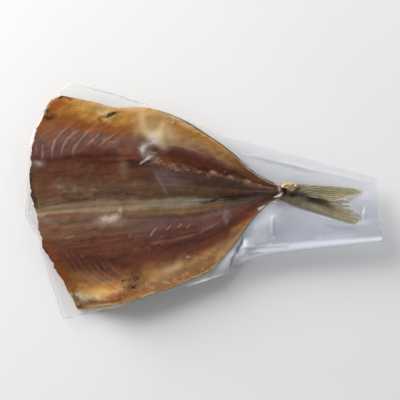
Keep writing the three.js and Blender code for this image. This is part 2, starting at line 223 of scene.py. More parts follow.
# Marks on the flesh in the order that they lie over one another: colour's name, then runs of
# (points of its path, half width, strength)
STROKES = {
    # Partly painted sheen: the second and last strokes are the grey-mauve reflection of the film
    "mauve_flesh_and_sheen": [
        ([(-46, -14), (-32, -16), (-18, -17)], 4.5, 0.6),
        ([(-27, 14), (-18, 11.5), (-8, 9)], 4.6, 0.6),
        ([(-92, 21), (-84, 26), (-74, 28), (-58, 29)], 2.8, 0.65),
        ([(-93, 24), (-90, 30), (-86, 33)], 3.0, 0.5),
        ([(-4.7, -15.4), (6.3, -14.3), (11.8, -11)], 1.6, 0.6),
        ([(6, -11), (16, -8), (25, -4)], 3.6, 0.4),
        ([(-45, 20), (-43, 13)], 2.4, 0.5),
    ],
    "tan_muscle": [
        ([(-68, 12), (-50, 12.4), (-38, 12)], 1.0, 0.4),
        ([(-54, 7.6), (-40, 7.2), (-24, 6.8)], 0.8, 0.75),
        ([(-60, 4.6), (-40, 5), (-26, 4.4)], 0.6, 0.5),
        ([(-80, 6.4), (-72, 5.6), (-62, 4.4), (-54, 3.6)], 2.6, 0.75),
        ([(-87, -8), (-70, -8), (-56, -8)], 1.2, 0.6),
        ([(-87, -12.6), (-78, -13)], 1.2, 0.4),
        ([(-72, -38.6), (-64, -41.6), (-52, -43.4)], 2.0, 0.55),
    ],
    "olive_streak": [
        ([(-46, -6.2), (-26, -6), (-13, -6.6), (-3, -6), (3, -4)], 1.6, 0.8),
        ([(-14, 4.8), (-4, 4.4), (9, 3.4)], 1.8, 0.55),
        ([(-91, -1), (-90, 4), (-91.5, 9)], 1.6, 0.6),
        ([(-30, 3.2), (-14, 2.6), (-2, 2.4)], 1.3, 0.65),
    ],
    "spine": [
        ([(-91, -6.6), (-79, -5), (-62, -4.4), (-46, -3.8), (-30, -2.8), (-12, -2.2)], 2.5, 0.85),
        # A painted highlight along the pale strip
        ([(-38, -3.4), (-24, -3.2), (-10, -2.6)], 1.0, 0.7),
    ],
    "grey_spine": [
        ([(-36, -2.4), (-14, -1.8), (-2, -1.2), (4, -0.2)], 2.0, 0.9),
        ([(-30, -1), (-18, -0.6)], 1.2, 0.5),
    ],
    "deep_umber": [
        ([(30, 0), (37, 1.8), (44, 3)], 2.2, 0.5),
        ([(-2.5, -1.9), (4, -1), (10, 0)], 0.8, 0.85),
        ([(5, -0.6), (14, 0.4), (22, 1), (32, 2.8), (42, 4.4)], 2.0, 0.9),
    ],
    "brown_muscle": [
        ([(-80.6, 56), (-76, 56.8), (-71, 55.8)], 1.1, 0.9),
        ([(-37, -34), (-38, -42), (-40.5, -50)], 4.2, 0.85),
        ([(-72, -49), (-69, -57)], 1.8, 0.65),
    ],
    "dark_seam": [
        ([(-64, -34), (-54, -38.6), (-44, -42)], 3.4, 0.45),
        ([(-34, -9.6), (-20, -9.2), (0, -8), (12, -5)], 1.3, 0.6),
        ([(-78, 22.6), (-68, 23.8), (-56, 25), (-46, 24.4), (-35, 22.4)], 2.0, 0.9),
        ([(-24, 27), (-16, 26), (-6, 23), (6, 18.6), (16, 15)], 3.3, 0.85),
        ([(2, 20.5), (16, 14.6), (28, 9.6)], 2.0, 0.5),
        ([(-29, 29), (-26, 28), (-28, 25.6)], 1.6, 0.8),
        ([(-76, -30), (-60, -32), (-45, -35), (-36, -37)], 2.6, 0.45),
        ([(-62, -31), (-54, -38), (-44, -43.4)], 2.4, 0.8),
        ([(-38, -27), (-20, -25), (-6, -21.6), (8, -15)], 1.2, 0.45),
        ([(-28, -18.8), (-12, -16.6), (2, -13)], 1.6, 0.4),
    ],
    "red_stain": [
        ([(-88, -22), (-84, -30), (-79, -38), (-74, -45)], 2.2, 0.4),
        ([(-8, -27.5), (2, -24), (12, -19)], 2.0, 0.3),
        ([(-79, -33), (-74, -42), (-72, -46)], 1.6, 0.35),
        ([(-84, 49), (-81, 52.6), (-76, 54)], 2.6, 0.85),
        ([(-84, 40), (-76, 43), (-66, 44)], 2.6, 0.45),
        ([(-90, 38), (-87, 44)], 1.4, 0.6),
        ([(-89.5, -14), (-86, -17), (-83, -20)], 1.9, 0.35),
        ([(-88, -23), (-84, -31), (-78, -40), (-72, -49)], 3.0, 0.85),
        ([(-82, 53), (-76, 56), (-68, 54.6)], 1.2, 0.7),
        ([(-91, 14), (-88, 8), (-86, 3)], 3.0, 0.15),
        ([(-88, -13.6), (-78, -15), (-66, -16.4)], 1.6, 0.2),
        ([(-78, -34), (-70, -39), (-62, -42)], 3.0, 0.4),
        ([(-86, -9.8), (-72, -9.6), (-60, -9.8)], 0.5, 0.15),
        ([(-46, 23.2), (-38, 22.6), (-32, 22)], 0.5, 0.5),
        ([(-92, 4.4), (-84, 4.6), (-72, 4)], 1.8, 0.22),
        ([(-87, -17.4), (-76, -18), (-64, -18.6)], 1.4, 0.22),
        ([(-77, -31), (-68, -36), (-56, -40)], 4.0, 0.16),
        ([(-68, -47.4), (-60, -50.4), (-50, -52)], 2.0, 0.25),
        ([(-31, -45), (-25, -46.6), (-20, -46)], 2.0, 0.3),
        ([(-28, 22), (-21, 19.6), (-15, 18)], 2.0, 0.5),
        ([(2, -25), (12, -18), (22, -10), (31, -4.6)], 1.8, 0.6),
        ([(12, -12), (20, -8.6), (30, -4.4)], 2.4, 0.35),
        ([(-46, -35), (-30, -33.4), (-14, -29.6), (-2, -25.4)], 2.2, 0.18),
        ([(-44, -51), (-36, -50.4), (-28, -47)], 1.2, 0.6),
    ],
    "rust": [
        ([(-86, 46), (-82, 51.6), (-75, 54)], 2.6, 0.5),
        ([(-81, -34), (-76, -40), (-70, -44)], 2.6, 0.5),
        ([(-49, -51.6), (-42, -50.6), (-36, -48.6)], 2.2, 0.3),
        ([(24, -7.4), (29.6, -4.6)], 0.7, 0.6),
        ([(-70, -46.6), (-62, -49)], 2.0, 0.5),
        ([(-32, -47), (-22, -44.6)], 1.8, 0.4),
        ([(-40, -47), (-33, -44), (-26, -43)], 2.4, 0.35),
        ([(-58, -52), (-46, -52.6), (-34, -49)], 2.4, 0.5),
        ([(-80, 42), (-70, 45), (-60, 45)], 2.0, 0.45),
        ([(-88, 36), (-83, 38), (-78, 40)], 3.0, 0.5),
        ([(-85, -33), (-79, -42), (-73, -52)], 1.4, 0.6),
        ([(-56, -55.6), (-47, -54.4), (-38, -51), (-28, -47)], 1.3, 0.9),
        ([(-66, -57.8), (-56, -56.4), (-44, -55.4)], 1.0, 0.9),
        ([(-22, -44.6), (-10, -42.4), (-4, -40)], 0.8, 0.6),
        ([(-30, -41.6), (-20, -40), (-8, -38)], 1.5, 0.4),
        ([(-24, 43), (-14, 40), (-2, 34)], 2.0, 0.4),
        ([(-34, 43), (-29, 42.6)], 2.2, 0.35),
        ([(4, 30), (14, 23.6), (24, 16)], 1.8, 0.55),
    ],
    "ember": [
        ([(-48, -51.8), (-43, -51)], 1.6, 0.6),
        ([(-74, -46), (-67, -50)], 1.8, 0.4),
        ([(-58, -50), (-48, -50.4), (-36, -47)], 2.6, 0.22),
        ([(-83, 50.6), (-80.4, 52.4), (-78.4, 53.4)], 1.7, 0.75),
        ([(-88.6, 42), (-87.4, 40)], 1.0, 0.7),
        ([(25, -10), (29.6, -6.4)], 1.1, 0.45),
    ],
    "belly_gold": [
        ([(-50, 46.6), (-42, 46), (-36, 44)], 3.2, 0.5),
        ([(6, -35.6), (12, -28), (17, -21.2)], 2.0, 0.35),
        ([(-74, -40), (-66, -42.6), (-58, -43.6)], 2.6, 0.22),
        ([(-66, -49.4), (-58, -50.6), (-50, -50)], 2.2, 0.85),
        ([(-70, -46), (-62, -48)], 1.3, 0.5),
        ([(-31, -40.5), (-23, -39.6)], 2.4, 0.25),
        ([(-12, -37), (0, -31), (10, -24)], 1.6, 0.3),
        ([(14, -19), (22, -12.4)], 1.0, 0.4),
        ([(-72, 50.6), (-66, 50), (-58, 48.6)], 1.4, 0.6),
        ([(-70, 47.4), (-62, 45.6), (-54, 44)], 2.4, 0.32),
        ([(-55, 44), (-51, 43.6)], 1.0, 0.6),
        ([(-46, 48.4), (-38, 48.4), (-24, 46)], 1.2, 0.7),
        ([(-68, -59.8), (-56, -58), (-44, -56.1)], 1.0, 0.6),
    ],
    "cream": [
        # Partly painted highlight: the strokes along the upper belly edge stand in for light caught by the
        # film
        ([(-58, 48.2), (-54.6, 47.8), (-51, 48)], 2.0, 0.8),
        ([(-56.4, 44), (-52, 44.8), (-47.8, 46)], 0.8, 0.6),
        ([(-23, 47.2), (-15.4, 44.8), (-9.4, 41), (-3, 36.6)], 1.0, 0.75),
        ([(-58, 52.6), (-47, 50.2), (-36, 50), (-24, 48.2)], 0.9, 0.6),
        ([(-36, -54), (-30, -51.6), (-24, -49)], 0.7, 0.45),
        ([(-34, 49.4), (-26, 48), (-18, 45.4), (-13, 43)], 1.4, 0.4),
        ([(-70, -49), (-62, -52)], 1.6, 0.3),
    ],
    "rib_line": [
        ([(-91.7, 30.8), (-91.4, 24.2)], 0.4, 0.35),
        ([(-87.8, 31.4), (-87.9, 26.4), (-87.7, 21.4)], 0.42, 0.55),
        ([(-90.4, 32.7), (-86.8, 36.3), (-81.3, 40.2)], 0.4, 0.3),
        ([(-82.9, 21.4), (-82.9, 26.6), (-81.1, 32.7), (-77.8, 37), (-71.6, 41.8)], 0.6, 0.7),
        ([(-78, 23.6), (-77.1, 27.8), (-74.6, 32.7), (-71, 36.3), (-66, 39)], 0.6, 0.7),
        ([(-72, 23.4), (-71, 27.8), (-67.9, 32.1), (-63.6, 37), (-59.2, 39.4)], 0.6, 0.7),
        ([(-64.6, 28.7), (-61.3, 32.1), (-58.7, 34.6), (-54.6, 38.4)], 0.52, 0.66),
        ([(-58, 28.7), (-52.6, 33.3), (-46.6, 37.2)], 0.52, 0.62),
        ([(-50, 30.6), (-46.2, 32.9)], 0.36, 0.4),
    ],
    "sinew": [
        ([(-29, 25.4), (-27, 25.8), (-25, 26.4)], 0.6, 0.9),
        ([(0, 15.6), (8, 13.4), (20, 10.4), (30, 7.6)], 0.8, 0.5),
        ([(-48, -45), (-44, -44), (-38, -45), (-35, -43)], 1.6, 0.5),
    ],
    # Partly painted shade: dark tissue, with shade painted into clefts and under a crease of the film
    "dark_line": [
        ([(0, 17), (6, 14.4)], 1.6, 0.45),
        ([(-70, 8.4), (-62, 7.4)], 1.0, 0.35),
        ([(43.4, 5.8), (45.8, 4.2)], 1.0, 0.9),
        ([(-57, 3.4), (-46, 3.6), (-34, 3)], 0.9, 0.5),
        ([(-78, 0.2), (-70, -0.2), (-60, 0.8)], 0.8, 0.6),
        ([(-92, -5), (-80, -2.4), (-66, -0.8)], 0.6, 0.5),
        ([(-76, -21), (-66, -18), (-54, -15)], 0.4, 0.45),
        ([(-2, -0.8), (10, 0.8), (24, 2.4), (34, 3.4)], 1.0, 0.7),
        ([(-28.7, 22), (-31.4, 20.4), (-34, 19)], 0.6, 0.85),
        ([(-86.2, 49.8), (-88.8, 45.1), (-91, 39.6), (-93.2, 33), (-94.4, 26)], 0.5, 0.75),
        ([(20, 6), (30, 5), (42, 5.5)], 0.9, 0.2),
        ([(30, 9.6), (38, 7.8), (44, 5.4)], 0.9, 0.8),
        ([(-93.5, 20), (-95, 12), (-93, 2), (-91, -4)], 0.9, 0.8),
        ([(-88.6, -22.6), (-87.8, -26.4), (-84.6, -31.6), (-81.6, -36)], 1.0, 0.95),
        ([(-95, 6), (-93.8, 0), (-91.6, -6)], 1.3, 0.85),
        ([(-40, 20.6), (-34, 18.6)], 1.4, 0.5),
        ([(-42, -49.6), (-36, -47.4), (-31, -45)], 1.9, 0.45),
        ([(-47, -53.4), (-42, -52)], 1.4, 0.4),
        ([(-34, -41.6), (-31, -45)], 2.2, 0.35),
        ([(-67, -56.4), (-58, -55.6), (-50, -55.2), (-44, -54)], 0.5, 0.7),
        ([(-52, -6.2), (-47, -6.8)], 0.5, 0.5),
    ],
    "fat": [
        ([(-59.6, 52.4), (-55, 50.8)], 1.4, 0.5),
        ([(-56.6, -9.8), (-52, -10.4), (-46.4, -9.6)], 2.1, 0.85),
        ([(-60, -10.8), (-50, -11.4), (-43.4, -11)], 2.8, 0.3),
        ([(-45.4, -4), (-45.4, -8)], 0.8, 0.7),
        ([(-24, -41), (-17, -37.6), (-10, -34.2)], 1.7, 0.3),
        ([(-92, 20.4), (-88, 19.4)], 1.0, 0.5),
        ([(-80, 7.4), (-76, 6.4)], 1.1, 0.35),
        ([(-72, 5.4), (-68, 6.4)], 1.2, 0.4),
        ([(-66, 3.4), (-60, 2.6)], 1.0, 0.4),
        ([(-62, 5.4), (-58, 4.8)], 0.9, 0.35),
        ([(6, 30.2), (13, 25.4), (19, 20.6)], 1.0, 0.35),
    ],
    "fleck": [
        ([(-30.4, -20.4), (-27.6, -18), (-24.4, -14.2)], 0.3, 0.8),
        ([(-20.6, -17), (-19.4, -15.8), (-17.2, -13.2)], 0.28, 0.75),
        ([(-14.6, -15.4), (-13.2, -14.6), (-11.8, -12.2)], 0.28, 0.6),
        ([(-9.6, -15.8), (-8.6, -14.6), (-7.4, -13)], 0.28, 0.55),
        ([(-41, -21), (-39.6, -18.6)], 0.35, 0.35),
        ([(-9.4, -31.4), (-7, -31)], 0.6, 1.0),
        ([(-30, -23.8), (-24, -23), (-19.4, -22)], 0.4, 0.26),
        ([(-23.4, 31.4), (-19.2, 30.3), (-15.1, 30), (-11.3, 29.3), (-4.7, 27.2), (3, 24)], 0.5, 0.5),
        ([(-19, 30.4), (-16.5, 30.2), (-14, 29.6)], 0.5, 0.7),
        ([(-20, -23), (-11.6, -20.9), (-2, -18), (11, -11)], 0.4, 0.25),
        ([(4, 15.4), (7.4, 14.2)], 0.9, 0.75),
        ([(13.6, 13), (16.4, 12.2)], 0.8, 0.7),
        ([(22.4, 10.8), (26.4, 9.6)], 0.9, 0.7),
        ([(30.4, 8.4), (31.6, 8.2)], 0.5, 0.6),
        ([(-26.4, 21.6), (-24.6, 20.2)], 0.6, 0.6),
        ([(-17, 20), (-14.6, 16.8)], 0.4, 0.55),
        ([(-75, -29.7), (-73.4, -31.4)], 0.4, 0.35),
        ([(-67.4, -30.3), (-65.7, -31.9)], 0.4, 0.35),
        ([(-76.7, -21.2), (-73.4, -20.6), (-70, -19.4)], 0.35, 0.5),
        ([(-7.6, 5.5), (-5.8, 5)], 0.4, 0.6),
    ],
    "gut_lining": [
        ([(-88.6, 45), (-85, 45), (-81, 46)], 1.3, 1.0),
        ([(-84.6, 45), (-81, 46.4)], 1.5, 0.95),
        ([(-86.6, 49.6), (-85.4, 48)], 1.3, 0.95),
        ([(-54.8, 45), (-52, 46.3), (-49.2, 47.2), (-47, 47.4)], 1.0, 1.0),
        ([(-57.6, 43.8), (-56.8, 43)], 0.8, 0.9),
        ([(-58.6, 44.8), (-55.8, 45.4), (-53, 45.8)], 0.5, 0.9),
        ([(-45, -44.6), (-41.5, -44)], 0.8, 0.9),
        ([(-40.4, -46), (-37.6, -48.6)], 0.7, 0.9),
        ([(-37.6, -44), (-35.2, -41.6)], 0.6, 0.8),
        ([(-69.4, -55), (-68.2, -53)], 0.6, 0.5),
        ([(-69.6, -59.4), (-67, -58.6)], 0.7, 0.9),
        ([(-80, 56.6), (-77, 57.2), (-74, 56.6)], 0.8, 0.9),
        ([(2.4, -37.2), (4.4, -38)], 0.5, 0.6),
    ],
}

# Marks that are torn to scraps
TORN = ("sinew", "gut_lining")

# Ends of a stroke: how soon it reaches its full strength, how many half widths long it is when its ends are
# fully tapered, and how much narrower they are
STROKE_COMES = 5
SLENDER_LENGTH = 8
END_NARROWS = 0.5

# Marks that hardly wander, and how much of the others' wandering they take
STEADY_MARKS = ("rib_line", "fleck")
STEADY_SHARE = 0.35

# Shifts that make a mark wander, as (size of the bumps, shift in x, shift in y)
WANDER = [(4, 0.7, 0.6), (1.5, 0.4, 0.35)]

# Ribs that show faintly in the lower half: how many, each point of the first one's path with the step from
# rib to rib, half width, and strength with its step
LOWER_RIBS = 7
LOWER_RIB_PATH = [((-77.8, -30.8), (3.85, 0)), ((-72.4, -39), (4, 0)), ((-60, -50.2), (4.4, 0.6))]
LOWER_RIB_HALF = 0.6
LOWER_RIB_STRENGTH = (0.21, -0.015)

# Flecks strewn at random along a path: colour's name, path, count, spread, greatest half length, half width
# and strength
STREWN = [
    (
        "sinew", [(-28, 22.4), (-21, 19.3), (-15, 17.6), (-7, 16.6), (3, 15.2), (12, 12.4)],
        32, 1.2, 1.3, 0.75, 0.85,
    ),
    ("fleck", [(-27, 22), (-21, 19), (-15, 17.4), (-7, 16.4), (3, 15)], 14, 1.1, 0.8, 0.55, 0.75),
    ("tan_muscle", [(-82, 5.4), (-70, 4.4), (-57, 2.2)], 30, 1.7, 1.8, 0.8, 0.8),
    ("dark_line", [(-80, 3), (-70, 1.4), (-57, 1)], 18, 1.4, 1.6, 0.42, 0.75),
    ("fat", [(-80, 5.6), (-70, 5), (-58, 3)], 12, 1.6, 0.9, 0.6, 0.45),
    ("dark_line", [(-71.6, -50), (-69, -57.6)], 16, 0.9, 0.9, 0.4, 0.7),
    ("dark_line", [(-65, -56), (-56, -56), (-50, -54.4)], 16, 0.7, 1.4, 0.42, 0.7),
    ("gut_lining", [(-44.6, -44.4), (-40, -46.4), (-36, -43)], 12, 1.3, 1.4, 0.45, 0.9),
    ("gut_lining", [(-87, 46.6), (-84, 45.2), (-81, 46)], 6, 1.0, 1.2, 0.45, 0.9),
    ("gut_lining", [(-58, 44.6), (-53, 46.4), (-47, 47.2)], 9, 0.8, 1.4, 0.4, 0.9),
    ("rust", [(-20, 43.6), (-8, 39.6), (6, 29)], 20, 1.3, 1.7, 0.6, 0.6),
    ("cream", [(-24, 47), (-12, 42.4), (1, 34.8)], 20, 0.7, 1.5, 0.5, 0.85),
    ("rust", [(-40, -50), (-28, -47), (-14, -42), (0, -36)], 22, 1.6, 1.9, 0.6, 0.6),
    ("cream", [(-44, -53.6), (-30, -48.6), (-14, -43.6), (0, -37)], 16, 1.2, 1.6, 0.45, 0.5),
    ("red_stain", [(-90, -14), (-85, -28), (-76, -44)], 18, 1.4, 1.6, 0.6, 0.6),
    ("sinew", [(-77, -30.6), (-60, -29.4), (-42, -27.6), (-22, -24.4)], 30, 0.5, 1.5, 0.4, 0.7),
]
STREWN_SEED = 300

# Creases of the film, as (start, end, height, half width), and the shares over which each comes and goes
CREASES = [
    ((20, 25.9), (94.5, 8.8), 0.5, 0.8),
    ((37.7, -8.3), (37.7, -19.8), 0.5, 0.8),
    ((19, -25.9), (47.6, -24.6), 0.35, 0.9),
    ((43.7, 11), (60, 16.5), 0.3, 0.9),
    ((88.8, -2.8), (87.2, -12.1), 0.4, 0.8),
    ((-34, 20.5), (-28.4, 24.2), 0.5, 0.8),
]
CREASE_ENDS = ((0, 0.12), (0.88, 1))

# Painted sheen: milky places of the film over the fish that stand in for the glare reflected off it,
# as the marks on the flesh
PAINTED_FILM_SHEEN = [
    ([(-33.4, 50), (-33.4, 43.5), (-32.2, 37)], 3.0, 0.58),
    ([(-28, 45), (-26, 37)], 5.0, 0.26),
    ([(-32.4, 37.4), (-28, 36.8), (-22, 36.6)], 2.8, 0.38),
    ([(-21.6, 45), (-22.8, 40), (-23.6, 33)], 1.9, 0.42),
    ([(-25, 34), (-22, 30.6)], 2.8, 0.36),
    ([(-36.6, 41), (-37, 36)], 2.6, 0.25),
    ([(-19.6, 40), (-18, 36), (-17, 32.6)], 3.4, 0.36),
    ([(-12.6, 36.6), (-8, 32.6)], 3.8, 0.06),
    ([(-44, 21), (-43.4, 13)], 3.0, 0.08),
    ([(-24, -40.6), (-16, -37.4), (-10, -34.4)], 2.6, 0.27),
]

# Milky places of the film beside the fish, in the same way: partly milky doubled film, partly painted
# light that brightens it over shadows, on its creases, its roll and the strips beside the fish's edges
FREE_HAZE_AND_HIGHLIGHTS = [
    ([(20, 25.9), (60, 17.4), (94.5, 8.8)], 0.6, 0.25),
    ([(18, -26.6), (13.6, -32), (8.4, -38.6)], 3.2, 0.55),
    ([(25, -20), (21, -27), (18, -32.6)], 1.8, 0.5),
    ([(26, -18), (33, -12), (39, -6)], 6.0, 0.3),
    ([(37, -6), (41, -16)], 8.5, 0.32),
    ([(23.6, -25), (30, -21.4), (36, -18.4)], 3.2, 0.42),
    ([(18, -33.4), (26, -30.4), (36, -28.4)], 1.7, 0.45),
    ([(18, -36.4), (24, -32)], 2.0, 0.3),
    ([(24, -34), (54, -26.2), (97, -20.8)], 2.3, 0.6),
    ([(52, -22.2), (70, -19.8), (92, -17.6)], 2.2, 0.35),
    ([(30, -20), (36, -23), (34, -27)], 2.6, 0.3),
    ([(96.3, 3), (96.6, -8), (97, -18)], 0.7, 0.8),
    ([(19, -25.9), (33, -25.6), (47.6, -24.6)], 0.5, 0.3),
    ([(-72, -62.6), (-64, -61.4), (-53, -59.2)], 1.2, 0.85),
    ([(-60, -60.8), (-46, -57.9), (-36, -55)], 1.2, 0.7),
    ([(50, -4.6), (64, -8.4), (76, -12.2)], 0.9, 0.4),
    ([(-36, -54.6), (-24, -51.2), (-12, -47.6)], 1.2, 0.3),
    ([(-12, -47.6), (2, -43.2), (13, -39.6)], 1.5, 0.34),
    ([(-10, -47.2), (4, -43), (16, -38.8), (24, -34.8)], 0.5, 0.6),
]

# Cool glints on its creases, in the same way: painted highlights, milky marks that stand in for light
# glinting off the film
FILM_GLINTS = [
    ([(-30, 36), (-24, 35.6)], 2.6, 0.2),
    ([(-28.4, 35), (-25.4, 32.6)], 2.4, 0.32),
    ([(-24.6, 33), (-29.7, 31.4), (-32.7, 29.8), (-34, 27.5), (-33.2, 25.2), (-30.4, 23.9)], 1.7, 0.36),
    ([(-31.6, 30.2), (-33.4, 28.4), (-33.4, 26)], 1.1, 0.3),
    ([(-28.2, 23.8), (-30.4, 22.2), (-35, 19.6)], 0.5, 0.8),
    ([(-28.4, 23.8), (-31.6, 21.8)], 0.7, 0.3),
    ([(-27, 16.5), (-24, 9.9), (-19.6, 1.8)], 1.0, 0.08),
    ([(-25, 15), (-20, 11), (-13, 9)], 4.2, 0.06),
    ([(12.6, -5), (12.4, -14)], 1.6, 0.12),
    ([(-55.6, -9.8), (-50, -10), (-45.6, -8.2)], 2.2, 0.12),
    ([(-69.6, -50.6), (-67, -53.2), (-64.4, -55)], 1.8, 0.34),
    ([(10, 30.2), (17, 25.2), (24, 18.8), (30, 14), (36, 10.6)], 0.4, 0.4),
    ([(-32, 26.5), (-27, 22.6)], 2.4, 0.14),
    ([(-93.4, 20.4), (-90, 19.4), (-87.6, 19)], 2.0, 0.15),
    ([(-24, 33), (-21.6, 29.6)], 2.6, 0.12),
    ([(48, 1), (53, 1), (58, 0.2)], 1.2, 0.1),
    ([(40, 1.9), (42, 2.7), (43.8, 3.6)], 0.75, 0.85),
    ([(38.4, 1.3), (40, 1.8), (42, 2.6)], 0.36, 0.75),
    ([(34, -2.9), (38, -1.2), (42.4, 0.6)], 0.3, 0.5),
    ([(41.2, 7.6), (41.4, 4.4)], 0.8, 0.35),
    ([(29.8, -4.7), (31.2, -4)], 0.6, 0.65),
    ([(30.6, -4.2), (32, -3.6), (33.6, -2.9)], 0.36, 0.7),
    ([(38, -7), (38, -13)], 0.55, 0.5),
    ([(38, -19.6), (38, -21)], 0.9, 0.65),
    ([(22.8, -22), (22.6, -24.4)], 1.1, 0.7),
    ([(24, -24), (20.6, -30)], 1.2, 0.55),
    ([(88, -3), (87.5, -9)], 0.45, 0.5),
    ([(90, -4), (89.5, -8)], 0.4, 0.4),
    ([(73, 0.6), (79, -0.2)], 0.35, 0.5),
    ([(75, -2.2), (81, -3)], 0.4, 0.6),
    ([(76, -4), (82, -5.6)], 0.35, 0.4),
    ([(-97, -8), (-93, -16), (-89, -22)], 0.5, 0.4),
    ([(-88, -38), (-87, -36)], 0.7, 0.6),
    ([(-92, 38), (-88.6, 46), (-84, 53)], 0.4, 0.5),
    ([(-91.6, 44), (-94, 36), (-95.4, 27)], 0.45, 0.45),
    ([(-96.4, 16), (-95.6, 6)], 0.5, 0.4),
]

# Milkiness of the single film, of the doubled film above and below, and of the rim. Above the doubled
# film it also paints in the pale reflection of the room, and along the rim the highlight on its edge
MARGIN_HAZE = 0.03
DOUBLED_HAZE_AND_REFLECTION = (0.16, 0.24)
UNDERSIDE_HAZE = 0.25
RIM_HAZE_AND_HIGHLIGHT = 0.4

# Share of a second layer's tint: where the film is doubled, where it is single and where it is on the fish,
# with the v and the x past the tail over which the fish ends
DOUBLED_SHARE = (0.34, 1.0)
DOUBLED_DEEPENS = (6, -10)
DOUBLED_SOFT = 1.2
DOUBLED_ON_FISH = 0.3
SINGLE_SHARE = 0.18
SINGLE_COMES = (0, 20)
OVER_FISH_SHARE = 0.15
FISH_ENDS = (0.98, 1.1)
TAIL_ENDS = (0, 2)

# Dark folds of the film, as the marks on the flesh: a darker tint, partly the extra layers of a fold and
# partly shade painted into the crease; and how dark the rim is below one v and before one x, shade painted
# along the rim there
FILM_FOLDS_AND_SHADE = [
    ([(23, -17), (19.4, -25.3), (16, -31.6), (14.6, -36.3), (15, -38.6)], 0.7, 1.0),
    ([(38.2, -22.4), (31.6, -23.7), (27, -25.4)], 0.45, 0.5),
    ([(23.4, -30.2), (28.6, -28.6), (35, -28.9)], 0.45, 0.8),
    ([(15.6, -36), (19, -36.6), (22, -35)], 0.9, 0.4),
    ([(20, 24), (32, 22.6), (50, 18), (66, 14.6)], 1.2, 0.35),
    ([(64, -14), (74, -15.6), (86, -15)], 0.9, 0.35),
    ([(86.4, -3), (86, -9)], 0.4, 0.4),
    ([(-71, 64), (-44, 56.4), (-24, 50.6)], 0.35, 0.4),
]
RIM_FOLD = 0.45
RIM_FOLD_BELOW = 0.2
RIM_FOLD_BEFORE = -30

# Roll along the lower rim beside the tail: where it starts, its distance from the rim, half width, height
# and milkiness, partly rolled-up layers and partly a painted highlight along the roll
ROLL_STARTS = (16, 34)
ROLL_PLACE = [(16, 2.6), (55, 1.9), (97, 0.9)]
ROLL_HALF = [(16, 3.4), (55, 3.2), (97, 2)]
ROLL_HEIGHT = 0.9
ROLL_HAZE_AND_HIGHLIGHT = 0.8

# Height of the rim: half its own thickness, how far it follows the fish's edge, and how far it stands up
# beside the tail and at the lower front corner
RIM_HALF = 0.12
RIM_FOLLOWS = (0.55, 1.05)
FOLLOWING_FADES = (5, 30)
TAIL_RIM_RISE = 7.5
TAIL_RIM_COMES = (6, 38)
UPPER_RIM_SHARE = 0.55
LOWER_SIDE_COMES = (10, -15)
CORNER_RIM_RISE = 0.9
CORNER_RIM_FADES = (-50, -30)

# Gaps and tightness of the film: the least height of the free film, its gap under the fish and off the
# surface, its share of the way from the flesh to a film drawn straight, and its rounds of smoothing
LEAST_HEIGHT = 0.3
GAP_BELOW = 0.12
GAP_OFF_SURFACE = 0.05
TIGHTNESS = 0.75
UPPER_ROUNDS = 60
LOWER_ROUNDS = 40

# Pocket of air beside the lower belly: the run that it lies along, half width and height
POCKET = ((34, -13), (19, -29))
POCKET_HALF = 8.0
POCKET_HEIGHT = 2.0

# Spare film that lies double beside the tail, as corners in order
DOUBLED = [(-2, 30), (20, 25.6), (94, 9), (97.5, -23), (15.5, -33)]

# Lobes of the tail fin: margins as (x, y), trailing edge as (share across from the upper margin, x), how tan
# the rays are, rise over the other lobe, shade painted at the root, and darkness as (share across, strength)
# with the shares along over which it fades; that darkness lies where the lobes meet, shade painted in the gap
FIN_ROOT_X = 42
UPPER_LOBE = {
    "upper": [(44, 8.2), (53, 8.5), (64, 8), (75, 7.2), (82, 6.5), (89, 4.9)],
    "lower": [(44, 3.8), (53, 2.6), (64, 0.6), (70, -0.7), (78, -0.2), (89, 1)],
    "end": [(0, 88.2), (0.2, 89), (0.45, 87.6), (0.7, 84), (1, 75)],
    "tone": 0.15,
    "rise": 0.5,
    "shaded": 0.0,
    "dark": [(0, 0), (0.5, 0.06), (0.8, 0.75), (1, 1)],
    "fades": (0.35, 0.62),
}
LOWER_LOBE = {
    "upper": [(43, 4.4), (53, 3), (64, 0.8), (70, -0.9), (78, -2.2), (89, -3.4)],
    "lower": [(43, -0.6), (48, -1.8), (53, -3.4), (64, -6.4), (75, -10.4), (81, -12.4), (89, -13.6)],
    "end": [(0, 73), (0.15, 78.5), (0.35, 83), (0.6, 86.8), (0.85, 87.6), (1, 85)],
    "tone": 0.8,
    "rise": 0,
    "shaded": 0.4,
    "dark": [(0, 1), (0.33, 0.95), (0.58, 0.3), (1, 0)],
    "fades": (0.55, 0.9),
}
FORK_STAIN = [([(62, 0.8), (66, -0.2), (70, -1.4)], 1.4, 0.8)]

# Height of a lobe's middle over the skin side, at its root and further on, and where it settles
LOBE_RISES = (2.9, 0.75)
LOBE_SETTLES = (FIN_ROOT_X, FIN_ROOT_X + 14)

# Lump at the root of the upper lobe: its middle, half sizes, height over the skin side, slope towards the
# tail, and v of the flesh that its finish is read from
KNOB_X, KNOB_Y = 48, 7.5
KNOB_HALF = (4.1, 1.8, 1.4)
KNOB_RISE = 3.1
KNOB_SLOPE = -0.16
KNOB_V = 0.86


def linear(hex_value):
    """Linear colour of an sRGB hex value."""
    shares = [int(hex_value[i : i + 2], 16) / 255 for i in (1, 3, 5)]
    return tuple(c / 12.92 if c <= 0.04045 else ((c + 0.055) / 1.055) ** 2.4 for c in shares)


def length(name, description, millimetres):
    """Property that holds a length."""
    return FloatProperty(
        name=name, description=description, default=millimetres * MM, min=0, precision=5, unit="LENGTH"
    )


def colour(name, description, hex_value):
    """Property that holds a colour."""
    return FloatVectorProperty(
        name=name, description=description, default=linear(hex_value), min=0, max=1, size=3, subtype="COLOR"
    )


